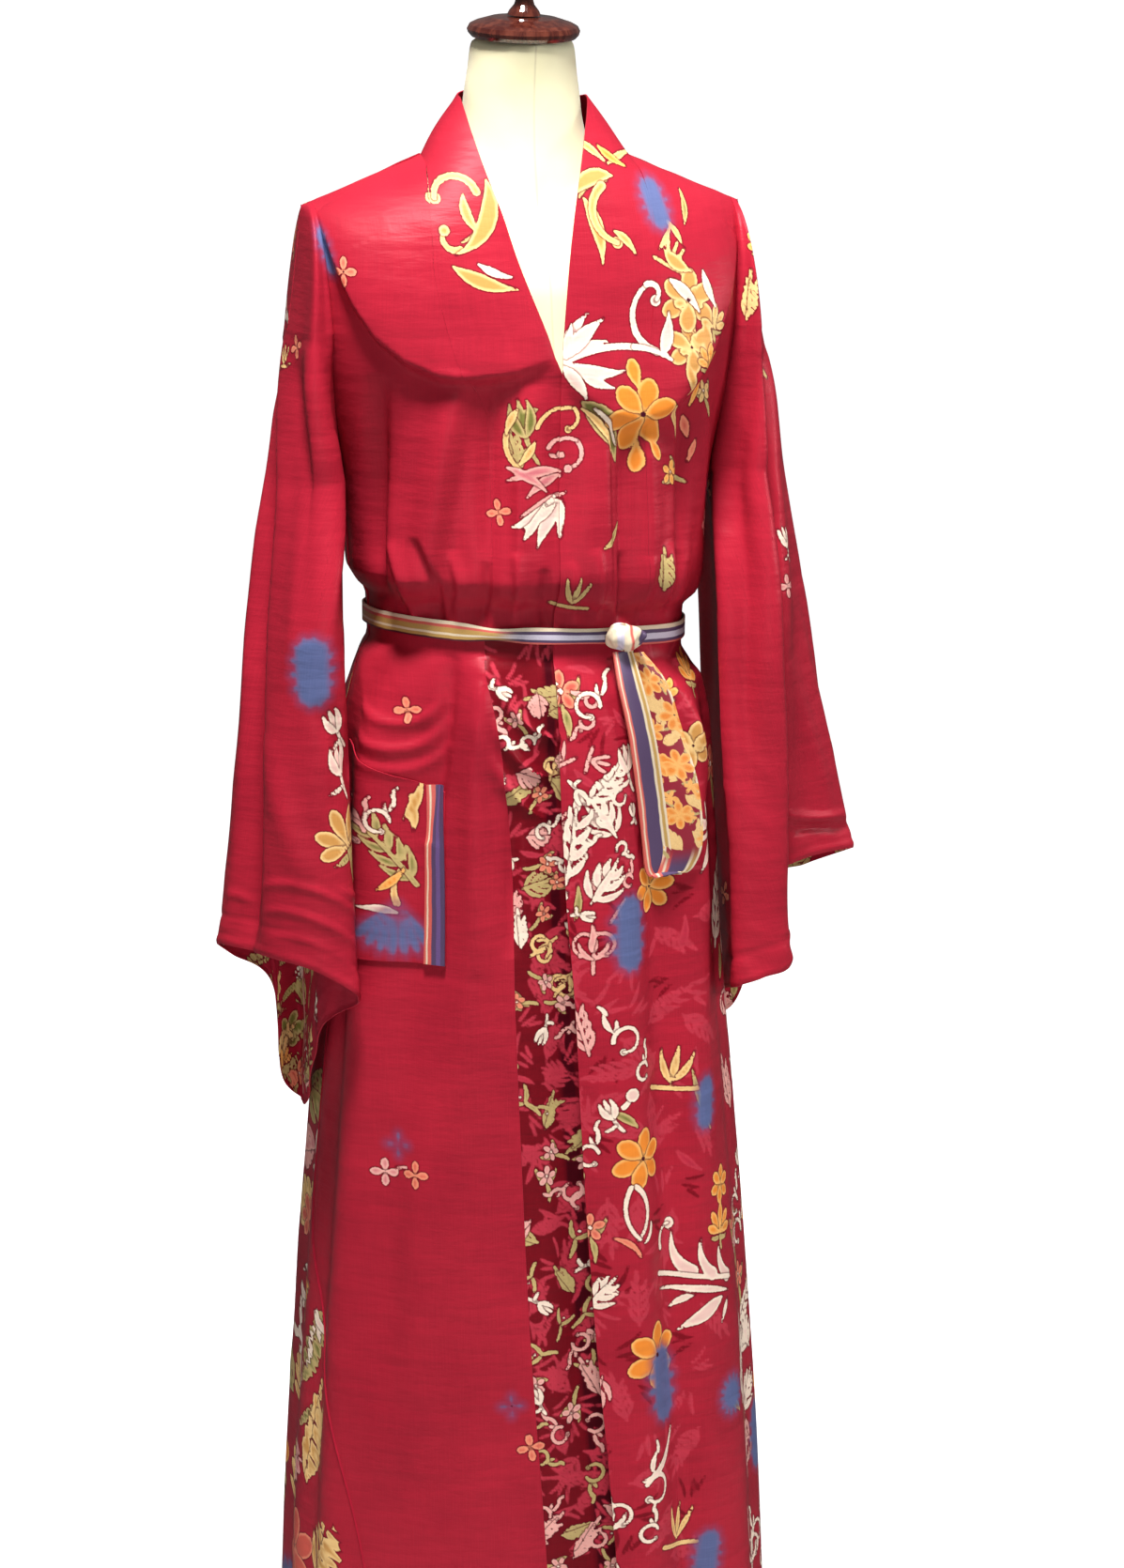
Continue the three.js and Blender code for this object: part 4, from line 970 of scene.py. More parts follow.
def make_band(side, add_print):
    name = "right" if side < 0 else "left"

    def seam_place(height):
        return skin(line_angle(f"{name}_seam", height) - side * GAP_ANGLE, height)

    share = np.linspace(0, 1, steps(BAND_WIDTH, BAND_STEP))[None, :]
    body_heights = row_heights(BAND_STEP)[1]
    heights = body_heights[:, None]
    seam = line_angle(f"{name}_seam", body_heights)[:, None] - side * GAP_ANGLE
    edge = angle_of_x(FRONT_LINES.at(f"{name}_edge", body_heights), body_heights)[:, None]
    lower = skin(mix(seam, edge, share), heights)
    sign = -side  # rows run down, columns from the seam to the edge
    lower = lower + normals_of(lower) * sign * band_lift(side, share, heights)[..., None]

    arcs = np.linspace(0, 90, len(BAND_RISE[side]) + 2)
    seams = [seam_place(CHEST + arc) for arc in arcs]
    edges = [skin(angle_of_x(FRONT_LINES.at(f"{name}_edge", CHEST), CHEST), CHEST), *BAND_RISE[side]]
    for x, y, z, arc, parts in COLLAR:
        edges.append((side * max(x, GAP / 2), y, z))
        if arc < 90:
            end = side_angle(side, CHEST) - GAP_ANGLE
            seams.append(skin(180 - side * parts / BACK_PARTS * end, CHEST + arc + COLLAR_CLEAR))
    seams[-1][0] = side * GAP / 2
    per_stretch = steps(COLLAR_STRETCH, BAND_STEP)
    seam_line = smooth_path(seams, per_stretch)
    edge_line = smooth_path(edges, per_stretch)
    upper = mix(seam_line[:, None], edge_line[:, None], share[..., None])
    bulge = lower[0] - mix(lower[0, :1], lower[0, -1:], share[0][:, None])
    upper = upper + bulge * (1 - ease(np.arange(len(upper)) / (2.5 * per_stretch)))[:, None, None]
    away = upper - np.array([0, 8, 0])
    away[..., 2] = 0
    puff = COLLAR_PUFF * np.sin(np.pi * share[..., None])
    upper = upper + unit(away) * (puff * ease(np.arange(len(upper)) / per_stretch)[:, None, None])
    upper[-1, :, 0] = side * GAP / 2

    above = upper[::-1][:-1]
    grid = np.concatenate([above, lower])
    across = np.concatenate([above[..., 0], girth(mix(seam, edge, share), heights)])
    if side > 0:
        grid, across = grid[:, ::-1], across[:, ::-1]
    pattern = Print(across, grid[..., 2])
    add_print(pattern)
    return cloth_piece(f"{name}_band", grid, (across, grid[..., 2]), outer=pattern)


# Creases of the sleeves, by side, as those of the front, with across counted from the outer fold
SLEEVE_CREASES = {
    -1: [
        (-34, 1320, 40, 1043, 60, 770, -22, 6, 17),
        (-14, 1320, 60, 1043, 82, 780, 8, 22, 7),
        (-70, 1300, 6, 1043, 22, 790, 6, 8, 20),
        (90, 1240, 118, 1080, 132, 900, 6, 9, 24),
        (50, 1322, 96, 1190, 140, 1000, 8, 15, 15),
        (30, 1300, 74, 1180, 104, 1060, -5, 10, 10),
        (-140, 1290, -90, 1040, -100, 760, -8, 14, 14),
        (-180, 1290, -150, 1040, -170, 700, 7, 16, 16),
        (74, 838, 120, 848, 190, 812, 2.4, 2.5, 5),
        (80, 818, 124, 822, 190, 786, 2.2, 2.5, 5),
        (92, 800, 128, 800, 176, 776, 2, 2.5, 4),
        (150, 842, 170, 838, 192, 826, 2, 2.5, 5),
        (16, 822, 34, 826, 52, 820, 2, 4, 4),
        (116, 1010, 150, 960, 190, 900, -4, 10, 10),
        (70, 980, 100, 900, 120, 850, 4, 12, 12),
    ],
    1: [
        (-20, 1300, -92, 1060, -110, 800, -20, 6, 16),
        (0, 1300, -72, 1060, -86, 800, 9, 20, 7),
        (-44, 1310, -124, 1060, -150, 760, 6, 16, 16),
        (-92, 1322, -160, 1114, -216, 860, 8, 11, 11),
        (-70, 1300, -140, 1100, -190, 860, -6, 12, 12),
        (-60, 1020, -40, 930, -30, 850, 5, 12, 12),
        (-30, 1100, 4, 960, 16, 850, -4, 10, 10),
        (-100, 880, -60, 868, 0, 862, 3.5, 5, 5),
        (-96, 866, -56, 858, 4, 850, -3.5, 4.5, 4.5),
        (-190, 770, -150, 780, -116, 772, 3.5, 5, 5),
        (60, 1290, 96, 1040, 100, 760, -8, 14, 14),
        (120, 1290, 150, 1040, 170, 700, 7, 16, 16),
    ],
}


def soften_down(grid, top):
    """Smooths the columns of a grid below a height, over some rows each way."""
    reach = 13
    rows = np.arange(len(grid))
    shifts = range(-reach, reach + 1)
    soft = sum(grid[np.clip(rows + shift, 0, rows[-1])] for shift in shifts) / len(shifts)
    soft[..., 2] = grid[..., 2]
    to_end = np.minimum(rows[-1] - rows, reach)[:, None] / reach
    return mix(grid, soft, (ease((top - grid[..., 2]) / 40) * ease(to_end))[..., None])


def cuff_relief(across, from_cuff):
    """The rolled edge of a cuff, its hem and stitched groove, and the small puckers of the stitches."""
    hem = 0.8 * bell(from_cuff - 13, 8) - 0.8 * bell(from_cuff - 27, 2.6)
    rolled = 1.5 * bell(from_cuff - 4, 3.5)
    puckers = 0.7 * np.sin(across / 7.0) * bell(from_cuff - 14, 9)
    return hem + rolled + puckers


def make_sleeve(side, add_print, add_inside):
    fine = 15  # columns between two rows of the table
    place = np.arange(len(SLEEVES[side]) * fine)[None, :] / fine
    above = np.linspace(0, 1, steps(CHEST - UNDERARM, SLEEVE_STEP))
    middle = np.linspace(1, 2, steps(UNDERARM - SLEEVE_BELT, SLEEVE_STEP))[1:]
    below = np.linspace(2, CUFF_LEVEL, steps(SLEEVE_DROP, SLEEVE_STEP))[1:]
    level = np.concatenate([above, middle, below])[:, None]
    grid = soften_down(sleeve_skin(side, place, level), UNDERARM - 20)
    has = np.ones((grid.shape[0] - 1, grid.shape[1]), bool)
    has[:len(above) - 1, last_fold(side) * fine:] = False
    across = flat_lengths(grid)[0]
    across = side * (across - across[:, outer_fold(side) * fine][:, None])
    if side < 0:
        grid, across, has = grid[:, ::-1], across[:, ::-1], np.roll(has[:, ::-1], -1, 1)
    up = grid[..., 2]
    below_seam = ease((CHEST - up) / 14)
    down = flat_lengths(grid)[1]
    from_cuff = down[-1:] - down
    push = creases_at(SLEEVE_CREASES[side], across, up) * below_seam + cuff_relief(across, from_cuff)
    push += (1.2 + 0.6 * bell(from_cuff, 60)) * crumple(across, up, 9 + side) * below_seam
    grid = widen(grid, push, joined=True)
    up = grid[..., 2]
    outer, inner = Print(across, up), Print(across, up)
    add_print(outer)
    add_inside(inner)
    name = "right_sleeve" if side < 0 else "left_sleeve"
    return cloth_piece(name, grid, (across, up), joined=True, has=has, outer=outer, inner=inner)


POCKET_TOP = (926, 962)  # at its centre edge and its outer edge
POCKET_BOTTOM = 772
POCKET_FROM, POCKET_TO = 2 / 8, 7 / 8  # of the way from the front's seam to the side
POCKET_LIFT = 2.1  # off the front
TRIM_TOP = 932
TRIM_TO = 2.8 / 8
TRIM_LIFT = 4.2
TRIM_WIDTH = 14


def patch_grid(rows, columns, top, end, lift):
    """Grid of a patch on the right front. top is its height at both ends, and end the share of the way to
    the side where it stops."""
    share = np.linspace(0, 1, columns)
    heights = mix(mix(*top, share)[None, :], POCKET_BOTTOM, np.linspace(0, 1, rows)[:, None])
    start = line_angle("right_seam", heights) - GAP_ANGLE
    stop = -(side_angle(-1, heights) - GAP_ANGLE)
    grid = skin(mix(start, stop, mix(POCKET_FROM, end, share)[None, :]), heights)[:, ::-1]
    return widen(grid, lift)


def make_pocket(add_print):
    rows, columns = steps(190, BAND_STEP), steps(75, BAND_STEP)
    grid = patch_grid(rows, columns, POCKET_TOP, POCKET_TO, POCKET_LIFT)
    pattern = Print(grid[..., 0], grid[..., 2])
    add_print(pattern)
    return cloth_piece("pocket", grid, (grid[..., 0], grid[..., 2]), outer=pattern)


def make_pocket_trim():
    columns = 9
    grid = patch_grid(steps(160, BAND_STEP), columns, (TRIM_TOP, TRIM_TOP), TRIM_TO, TRIM_LIFT)
    across = (np.linspace(0, 1, columns)[None, :] - 0.5) * TRIM_WIDTH
    return cloth_piece("pocket_border", grid, (across, grid[..., 2]))


# Middle of the hanging half bow, down its front leg and up its back leg: x, z, distance from the robe, and
# width
LOOP = [
    (56, 1049.8, 12, 20),
    (60, 1015, 12.5, 25),
    (68, 970, 12, 27),
    (77, 920, 11.5, 28),
    (88, 872, 11.5, 29),
    (95, 850, 10.5, 30),
    (103, 842, 7.8, 34),
    (110, 849, 5.4, 38),
    (114, 872, 5, 42),
    (110, 920, 5, 44),
    (102, 970, 5.4, 42),
    (90, 1015, 6, 34),
    (70, 1049.2, 7.5, 18),
]
LOOP_TURN = 235  # length of its front leg
LOOP_LENGTH = 470
SASH_WALL = 1.6
TAPE, NARROW_TAPE = 30, 15  # widths over which the stripes of the bow and the sash are laid


def body_out(x, z, out):
    angle = angle_of_x(np.float64(x), np.float64(z))
    shift = 0.05
    here = skin(angle, z)
    across = skin(angle + shift, z) - skin(angle - shift, z)
    up = skin(angle, z + shift) - skin(angle, z - shift)
    return here + unit(np.cross(across, up)) * out


def make_loop():
    per_stretch = 16
    middle = smooth_path([body_out(x, z, out) for x, z, out, _ in LOOP], per_stretch)
    wide = smooth_path([(row[3],) for row in LOOP], per_stretch)[:, 0]
    along = unit(np.gradient(middle, axis=0))
    slant = np.array([1.0, 0, 0]) - along * along[:, :1]
    side = unit(np.stack([slant[:, 0], 0.28 * slant[:, 0], np.zeros(len(slant))], -1))
    out = unit(np.cross(side, along))
    share = np.linspace(-0.5, 0.5, 19)
    crown = 1.6 * np.cos(np.pi * share)[None, :, None] * out[:, None]
    grid = middle[:, None] + side[:, None] * (wide[:, None] * share)[..., None] + out[:, None] + crown
    grid = grid[:, ::-1]
    length = np.cumsum(np.linalg.norm(np.diff(middle, axis=0, prepend=middle[:1]), axis=-1))
    across = share[None, ::-1] + 0 * wide[:, None]
    back_leg = 60 * (length > LOOP_TURN)[:, None]  # the print's field for it lies beside the front leg's
    pattern = Print(across * 36 + back_leg, length[:, None] + 0 * across)
    blossoms = [(bloom, "orange"), (twig, "orange"), (spray, "gold")]
    scatter(pattern, (38, 82), (LOOP_TURN, LOOP_LENGTH), 18, 0.42, 21, blossoms)
    flat = (across * TAPE, length[:, None])
    return cloth_piece("sash_half_bow", grid, flat, SASH_WALL, outer=pattern)


def make_sash():
    count = 360
    angle = np.arange(count)[None, :] * 360 / count
    turn = (angle + 180) % 360 - 180
    across = np.linspace(-0.5, 0.5, 11)[:, None]
    x, y = ring_point(angle, *(BODY_RINGS.at(name, BELT - 8) for name in ("side", "front", "back")))
    pinched = bell(turn + 18, 9) + 0.6 * bell(turn - 8, 14)
    ripple = 0.7 * np.sin(np.radians(angle * 9)) * across + 0.5 * np.sin(np.radians(angle * 14 + 40))
    longer = 1 + (3.6 + 1.2 * pinched * np.cos(np.pi * across) + ripple * 0.6) / np.hypot(x, y)
    x, y = x * longer, y * longer
    z = BELT + SASH_FALL * x - across * (17 - 6 * pinched) + 0.5 * np.sin(np.radians(angle * 5))
    grid = np.stack(np.broadcast_arrays(x, y, z), -1)
    flat = (turn * 2.5, across * NARROW_TAPE)
    return cloth_piece("sash_band", grid, flat, SASH_WALL, joined=True)


def make_knot():
    """The knot of the sash, one turn of it drawn over the rest."""
    low, high = (np.array(corner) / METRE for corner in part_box("sash_knot"))
    middle, half = (low + high) / 2, (high - low) / 2
    turn = np.linspace(0, 2 * np.pi, 72, endpoint=False)[None, :]
    tilt = np.linspace(0.06, np.pi - 0.06, 40)[:, None]
    bulge = 1 + 0.09 * np.cos(3 * turn + 2.4 * np.cos(tilt)) + 0.04 * np.cos(7 * turn + 5 * tilt)
    over = bell(np.cos(turn) * np.sin(tilt) + 0.35 * np.cos(tilt), 0.42)
    size = (0.82 * bulge * (1 + 0.2 * over))[..., None] * half * (1.0, 0.95, 1.08)
    ball = np.stack([np.sin(tilt) * np.cos(turn), np.sin(tilt) * np.sin(turn), np.cos(tilt) + 0 * turn], -1)
    flat = (ball[..., 0] * TAPE / 2, turn * 12 + 0 * tilt)
    return cloth_piece("sash_wrapped_knot", middle + ball * size, flat, SASH_WALL, joined=True)


# ------------------------------------------------------------------------------
# Prints

# Motifs of the fronts and bands: which, colour, across from the centre front, up, turn, size, and -1 where
# it is mirrored
CHEST_MOTIFS = [
    (half_bloom, "gold", 148, 1326, -12, 0.62),
    (bloom, "gold", 122, 1311, 20, 0.72),
    (leaf, "gold", 98, 1396, -50, 0.6),
    (leaf, "gold", 122, 1400, 20, 0.6),
    (twig, "gold", 150, 1262, 16, 0.62),
    (leaf, "olive", 128, 1416, -20, 0.7),
    (spray, "olive", -34, 1208, 10, 0.6),
    (bloom, "orange", 71, 1255, 0, 1.0),
    (plume, "blue", 101, 1434, 12, 0.72),
    (sprout, "gold", 108, 1384, -30, 0.6),
    (bloom, "gold", 124, 1351, 10, 0.86),
    (half_bloom, "orange", 140, 1292, -10, 0.62),
    (tulip, "olive", -28, 1238, 14, 1.2),
    (floret, "coral", -54, 1173, 10, 0.85),
    (floret, "coral", -137, 997, 5, 0.85),
    (floret, "coral", -179, 1379, 0, 0.95),
    (plume, "blue", -206, 1396, 24, 0.7),
    (trio, "coral", -151, 588, 0, 0.9),
    (floret, "blue", -52, 367, 0, 0.9),
    (floret, "coral", -35, 327, 10, 0.95),
    (sprout, "olive", 10, 1092, -14, 0.7),
    (spray, "olive", 96, 1098, -4, 0.55),
    (twig, "orange", 118, 1196, 60, 0.7),
    (leaf, "olive", 36, 1140, -60, 0.7),
    (spray, "gold", 222, 1330, -8, 0.62),
    (half_bloom, "orange", 236, 1392, 10, 0.6),
    (trio, "coral", 190, 1160, 10, 0.9),
    (trio, "coral", -238, 860, 0, 0.9),
]
# Strokes of the lapels and chest: colour, from across and up, to across and up, bend, width, and where it is
# no plain leaf, shape and radius of the ball at its end
CHEST_STROKES = [
    ("gold", -60, 1446, -96, 1441, 165, 7, "stem", 5),
    ("gold", -50, 1456, -84, 1394, -84, 16),
    ("olive", -52, 1446, -78, 1404, -76, 4),
    ("gold", -72, 1444, -60, 1410, 60, 9),
    ("gold", -80, 1398, -92, 1414, -150, 6, "stem", 4.5),
    ("gold", -88, 1384, -32, 1364, 34, 13),
    ("olive", -78, 1378, -38, 1366, 24, 5),
    ("cream", -66, 1386, -36, 1374, 30, 7),
    ("gold", 36, 1489, 60, 1470, -20, 7),
    ("orange", 56, 1484, 80, 1466, 30, 7),
    ("gold", 62, 1468, 92, 1478, -30, 6),
    ("gold", 64, 1458, 22, 1438, 80, 14),
    ("olive", 58, 1454, 30, 1440, 72, 5),
    ("gold", 34, 1440, 45, 1384, -34, 12),
    ("gold", 52, 1450, 60, 1402, 130, 8, "stem", 5),
    ("gold", 58, 1412, 76, 1392, -40, 7),
    ("cream", 2, 1301, 29, 1343, -30, 12),
    ("cream", 7, 1305, 43, 1338, -24, 13),
    ("cream", 12, 1306, 44, 1319, -24, 11),
    ("cream", 3, 1305, 14, 1334, 16, 9),
    ("cream", 4, 1302, 70, 1313, -34, 5.5, "bar", 0),
    ("cream", 70, 1313, 102, 1301, -34, 5.5, "stem", 0),
    ("cream", 90, 1308, 85, 1366, -125, 6.5, "stem", 0),
    ("cream", 84, 1366, 92, 1352, -170, 5.5, "stem", 4.8),
    ("cream", 94, 1304, 104, 1342, 30, 11),
    ("cream", 2, 1300, 59, 1293, 30, 12),
    ("cream", 3, 1299, 23, 1270, -24, 10),
    ("cream", 18, 1292, 46, 1279, 24, 9),
    ("olive", 20, 1268, 52, 1214, -50, 20),
    ("gold", 20, 1262, 46, 1222, -50, 6),
    ("cream", 30, 1262, 52, 1228, -40, 3.5),
    ("orange", 70, 1276, 66, 1302, -20, 13, "petal", 0),
    ("orange", 74, 1232, 72, 1205, 0, 12, "petal", 0),
    ("orange", 82, 1236, 94, 1214, 0, 10, "petal", 0),
    ("gold", 100, 1262, 118, 1230, -60, 6),
    ("gold", -18, 1246, 14, 1262, -80, 4, "stem", 0),
    ("gold", 14, 1262, 8, 1244, -130, 3.6, "stem", 3.2),
    ("pink", -8, 1228, 16, 1234, -90, 4, "stem", 0),
    ("pink", 16, 1234, 8, 1210, -120, 4, "stem", 3.6),
    ("pink", -6, 1222, 2, 1222, 100, 3, "stem", 2.8),
    ("olive", -18, 1262, -40, 1244, 40, 10),
    ("gold", -36, 1262, -46, 1240, 30, 7),
    ("gold", -20, 1234, -36, 1214, -30, 7),
    ("pink", 2, 1208, -46, 1200, 30, 9),
    ("pink", 2, 1205, -28, 1186, 30, 9),
    ("pink", 6, 1190, -34, 1170, 12, 4.5),
    ("cream", 2, 1184, -20, 1142, 20, 13),
    ("cream", -2, 1180, -32, 1160, -24, 7),
    ("cream", 4, 1180, 0, 1150, 20, 5),
    ("gold", 104, 1394, 130, 1376, 40, 12),
    ("cream", 106, 1370, 134, 1340, -34, 10),
    ("gold", 138, 1332, 138, 1294, -20, 12),
    ("cream", 142, 1376, 152, 1344, 20, 8),
    ("gold", 116, 1298, 126, 1268, 20, 9),
    ("orange", 138, 1286, 132, 1258, -20, 8),
    ("coral", 128, 1250, 134, 1230, 0, 7),
    ("coral", 142, 1228, 136, 1208, 0, 6),
    ("pink", -46, 1212, -10, 1190, -34, 8),
    ("cream", -42, 1161, -2, 1188, 40, 9),
    ("cream", -32, 1150, -12, 1180, 10, 8),
    ("gold", -46, 1240, -24, 1206, 90, 5, "stem", 4),
]
SKIRT_MOTIFS = [  # in the skirt of the left front, on the bands, and again a repeat lower
    (scroll, "cream", 34, 1000, -10, 0.8),
    (tulip, "cream", 60, 940, 10, 0.9),
    (acanthus, "cream", 44, 884, 30, 0.8),
    (spray, "cream", 20, 916, -50, 0.8),
    (half_bloom, "orange", 100, 1000, 10, 0.62),
    (double_scroll, "pink", 24, 770, 0, 0.8),
    (spray, "pink", 20, 690, 14, 0.8),
    (scroll, "cream", 28, 600, 14, 0.7),
    (twig, "coral", 20, 520, 0, 0.8),
    (leaf, "olive", 60, 620, 40, 0.8),
    (acanthus, "pink", 30, 392, 160, 0.7),
    (double_scroll, "cream", 36, 240, 0, 0.8),
    (twig, "coral", 0, 1000, 0, 1.05),
    (spray, "gold", 66, 985, -12, 0.9),
    (half_bloom, "orange", 150, 1010, -14, 0.8),
    (bloom, "gold", 128, 955, 10, 0.7),
    (tulip, "cream", 112, 905, 16, 0.8),
    (leaf, "olive", -14, 843, 40, 0.8),
    (leaf, "olive", 8, 812, -20, 0.8),
    (spray, "cream", 0, 846, -14, 1.15),
    (acanthus, "cream", 22, 826, -32, 0.9),
    (bloom, "orange", 90, 832, 0, 0.72),
    (plume, "blue", 58, 796, 0, 1.05),
    (scroll, "cream", 40, 700, 6, 0.85, -1),
    (scroll, "cream", 76, 672, 20, 0.6),
    (comb, "cream", 100, 872, 6, 0.7),
    (sprout, "gold", 110, 650, -12, 1.0),
    (plume, "blue", 144, 626, -6, 0.78),
    (bloom, "orange", 65, 590, 8, 0.86),
    (comb, "cream", 86, 478, -17, 0.95),
    (half_bloom, "orange", 162, 500, -6, 0.8),
    (bloom, "orange", 166, 545, 6, 0.55),
    (acanthus, "cream", 16, 456, -44, 0.75),
    (bloom, "orange", 80, 404, 12, 0.95),
    (plume, "blue", 90, 374, 6, 1.12),
    (pompon, "blue", 176, 343, 0, 0.9),
    (scroll, "cream", 66, 286, -30, 0.95, -1),
    (twig, "pink", 4, 560, 10, 0.8),
    (tulip, "cream", 40, 630, 24, 0.7),
]
SKIRT_STROKES = [
    ("cream", 54, 566, 62, 516, 70, 4, "stem", 0),
    ("cream", 58, 566, 60, 516, -90, 4.4, "stem", 0),
    ("cream", 66, 512, 74, 530, 60, 4),
    ("coral", 40, 520, 62, 500, -60, 5),
    ("cream", 92, 500, 106, 520, -120, 4.6, "stem", 5.5),
    ("cream", 62, 290, 104, 330, 70, 7),
    ("cream", 48, 640, 56, 650, 20, 5, "stem", 6),
    ("olive", 128, 660, 150, 600, 20, 6),
]
REPEAT = 430  # of the print, up the cloth
DENSE = [
    (twig, "coral"), (twig, "pink"), (scroll, "pink"), (spray, "olive"), (acanthus, "pink"),
    (spray, "cream"), (double_scroll, "gold"), (tulip, "cream"), (acanthus, "olive"), (scroll, "cream"),
]
DIM = [
    (twig, "rose"), (twig, "pink"), (scroll, "pink"), (spray, "olive"), (acanthus, "rose"),
    (spray, "rose"), (scroll, "rose"), (tulip, "cream"), (spray, "pink"), (scroll, "olive"),
]
TONES = [(brush, "rose"), (leaf, "rose"), (brush, "rose"), (spray, "rose"), (brush, "plum")]
FINE = [(scroll, "cream"), (brush, "rose"), (scroll, "pink"), (tulip, "cream"), (sprout, "pink")]
LEAFY = [(leaf, "gold"), (spray, "olive"), (acanthus, "gold"), (leaf, "olive"), (acanthus, "olive")]
SPARSE = [(trio, "coral"), (floret, "coral"), (floret, "gold"), (floret, "blue")]
BOLD = DENSE + [(bloom, "orange"), (pompon, "blue"), (bloom, "coral"), (scroll, "cream")]


def front_print(cloth):
    draw(cloth, CHEST_MOTIFS, CHEST_STROKES)


def left_front_print(cloth):
    front_print(cloth)
    scatter(cloth, (-20, 130), (100, 1050), 34, 0.7, 27, TONES)
    scatter(cloth, (-20, 76), (800, 1050), 33, 0.46, 14, FINE)
    draw(cloth, SKIRT_MOTIFS, SKIRT_STROKES)
    draw(cloth, [row for row in SKIRT_MOTIFS if row[3] < 690], shift=(0, -REPEAT))
    for drop in (-90, -90 - REPEAT):
        draw(cloth, SKIRT_MOTIFS, SKIRT_STROKES, (205, drop))


def right_band_print(cloth):
    front_print(cloth)
    # Below the sash the band gets a dark plum ground: partly the band's own darker ground, and partly painted
    # shade of the band lying in shadow under the left front
    cloth.fields["plum"] = np.where(cloth.up < 1060, FILLED, 0)
    # Painted shadow: a soft very dark strip on the band beside the left front's free edge, widening towards
    # the hem, where that edge shades the band
    levels = np.linspace(1050, HEM, 24)
    edge = FRONT_LINES.at("left_edge", levels)
    edge_shadow = np.stack([girth(angle_of_x(edge, levels), levels) - 5, levels], -1)
    cloth.stroke("painted_shadow", edge_shadow, mix(5.0, 11.0, (1050 - levels) / (1050 - HEM)))
    scatter(cloth, (-80, 65), (100, 1060), 22, 0.55, 15, TONES)
    scatter(cloth, (-80, 65), (700, 1050), 29, 0.5, 5, DENSE)
    scatter(cloth, (-80, 65), (100, 700), 29, 0.55, 6, DIM)


SIDE_MOTIFS = [  # large leaves where the back comes round to the right side
    (tulip, "cream", 272, 560, 10, 1.0),
    (bloom, "coral", 262, 500, 0, 0.7),
    (twig, "orange", 300, 430, 0, 0.9),
    (spray, "olive", 322, 352, -22, 1.3),
    (acanthus, "gold", 304, 318, 30, 1.2),
    (spray, "gold", 352, 262, -10, 1.5),
    (acanthus, "gold", 318, 216, 24, 1.4),
    (acanthus, "gold", 384, 176, -30, 1.5),
    (spray, "olive", 340, 128, 6, 1.4),
]


def back_print(cloth):
    low_side = (np.abs(cloth.across) > 150) & (cloth.up < 1060)
    cloth.fields["plum"] = np.where(low_side, 0.8 * EDGE, 0)
    scatter(cloth, (-340, 340), (1080, 1480), 84, 1.15, 11, BOLD)
    scatter(cloth, (-340, 340), (100, 1060), 70, 1.2, 31, BOLD + LEAFY)
    draw(cloth, SIDE_MOTIFS)


RIGHT_SLEEVE_MOTIFS = [
    (floret, "coral", 27, 1312, 20, 0.8),
    (sprout, "gold", 6, 1296, 10, 0.5),
    (plume, "blue", 112, 1037, 8, 0.95),
    (tulip, "cream", 142, 982, 34, 0.9),
    (tulip, "cream", 148, 944, 16, 1.1),
    (half_bloom, "gold", 162, 880, 34, 1.2),
    (leaf, "olive", 176, 846, 10, 0.8),
]
LEFT_SLEEVE_MOTIFS = [
    (tulip, "cream", -50, 1122, 10, 0.7),
    (floret, "pink", -60, 1088, 0, 0.8),
    (twig, "orange", -30, 1290, 20, 0.7),
]


def right_sleeve_print(cloth):
    draw(cloth, RIGHT_SLEEVE_MOTIFS)
    scatter(cloth, (-260, -20), (600, 1320), 150, 0.9, 3, SPARSE)


def left_sleeve_print(cloth):
    draw(cloth, LEFT_SLEEVE_MOTIFS)
    scatter(cloth, (20, 260), (600, 1320), 150, 0.9, 4, SPARSE)


INSIDE_MOTIFS = [
    (bloom, "gold", -162, 716, 10, 0.55),
    (bloom, "olive", -204, 668, 30, 0.62),
    (acanthus, "gold", -188, 640, 20, 0.7),
    (half_bloom, "orange", -206, 636, -30, 0.6),
]


def sleeve_inside(cloth):
    scatter(cloth, (-340, 340), (560, 1000), 44, 0.8, 8, DENSE + LEAFY)
    draw(cloth, INSIDE_MOTIFS, [("pink", -196, 790, -250, 610, 0, 3.6, "bar", 0)])


POCKET_MOTIFS = [
    (spray, "olive", -124, 842, 36, 1.25),
    (scroll, "pink", -166, 888, 6, 0.75),
    (scroll, "cream", -146, 898, 0, 0.75),
    (leaf, "orange", -158, 836, -64, 0.8),
    (leaf, "cream", -140, 816, 70, 0.8),
    (fan, "blue", -143, 804, -6, 1.05),
    (leaf, "gold", -134, 900, -38, 1.0),
    (leaf, "gold", -126, 890, -10, 0.8),
]


def pocket_print(cloth):
    draw(cloth, POCKET_MOTIFS)


pieces = {
    "front_right": make_front(-1, front_print),
    "front_left": make_front(1, left_front_print),
    "back": make_back(back_print),
    "neckband_right": make_band(-1, right_band_print),
    "neckband_left": make_band(1, left_front_print),
    "sleeve_right": make_sleeve(-1, right_sleeve_print, sleeve_inside),
    "sleeve_left": make_sleeve(1, left_sleeve_print, sleeve_inside),
    "pocket_right": make_pocket(pocket_print),
    "pocket_trim": make_pocket_trim(),
    "sash_loop": make_loop(),
    "sash_ring": make_sash(),
    "sash_knot": make_knot(),
}


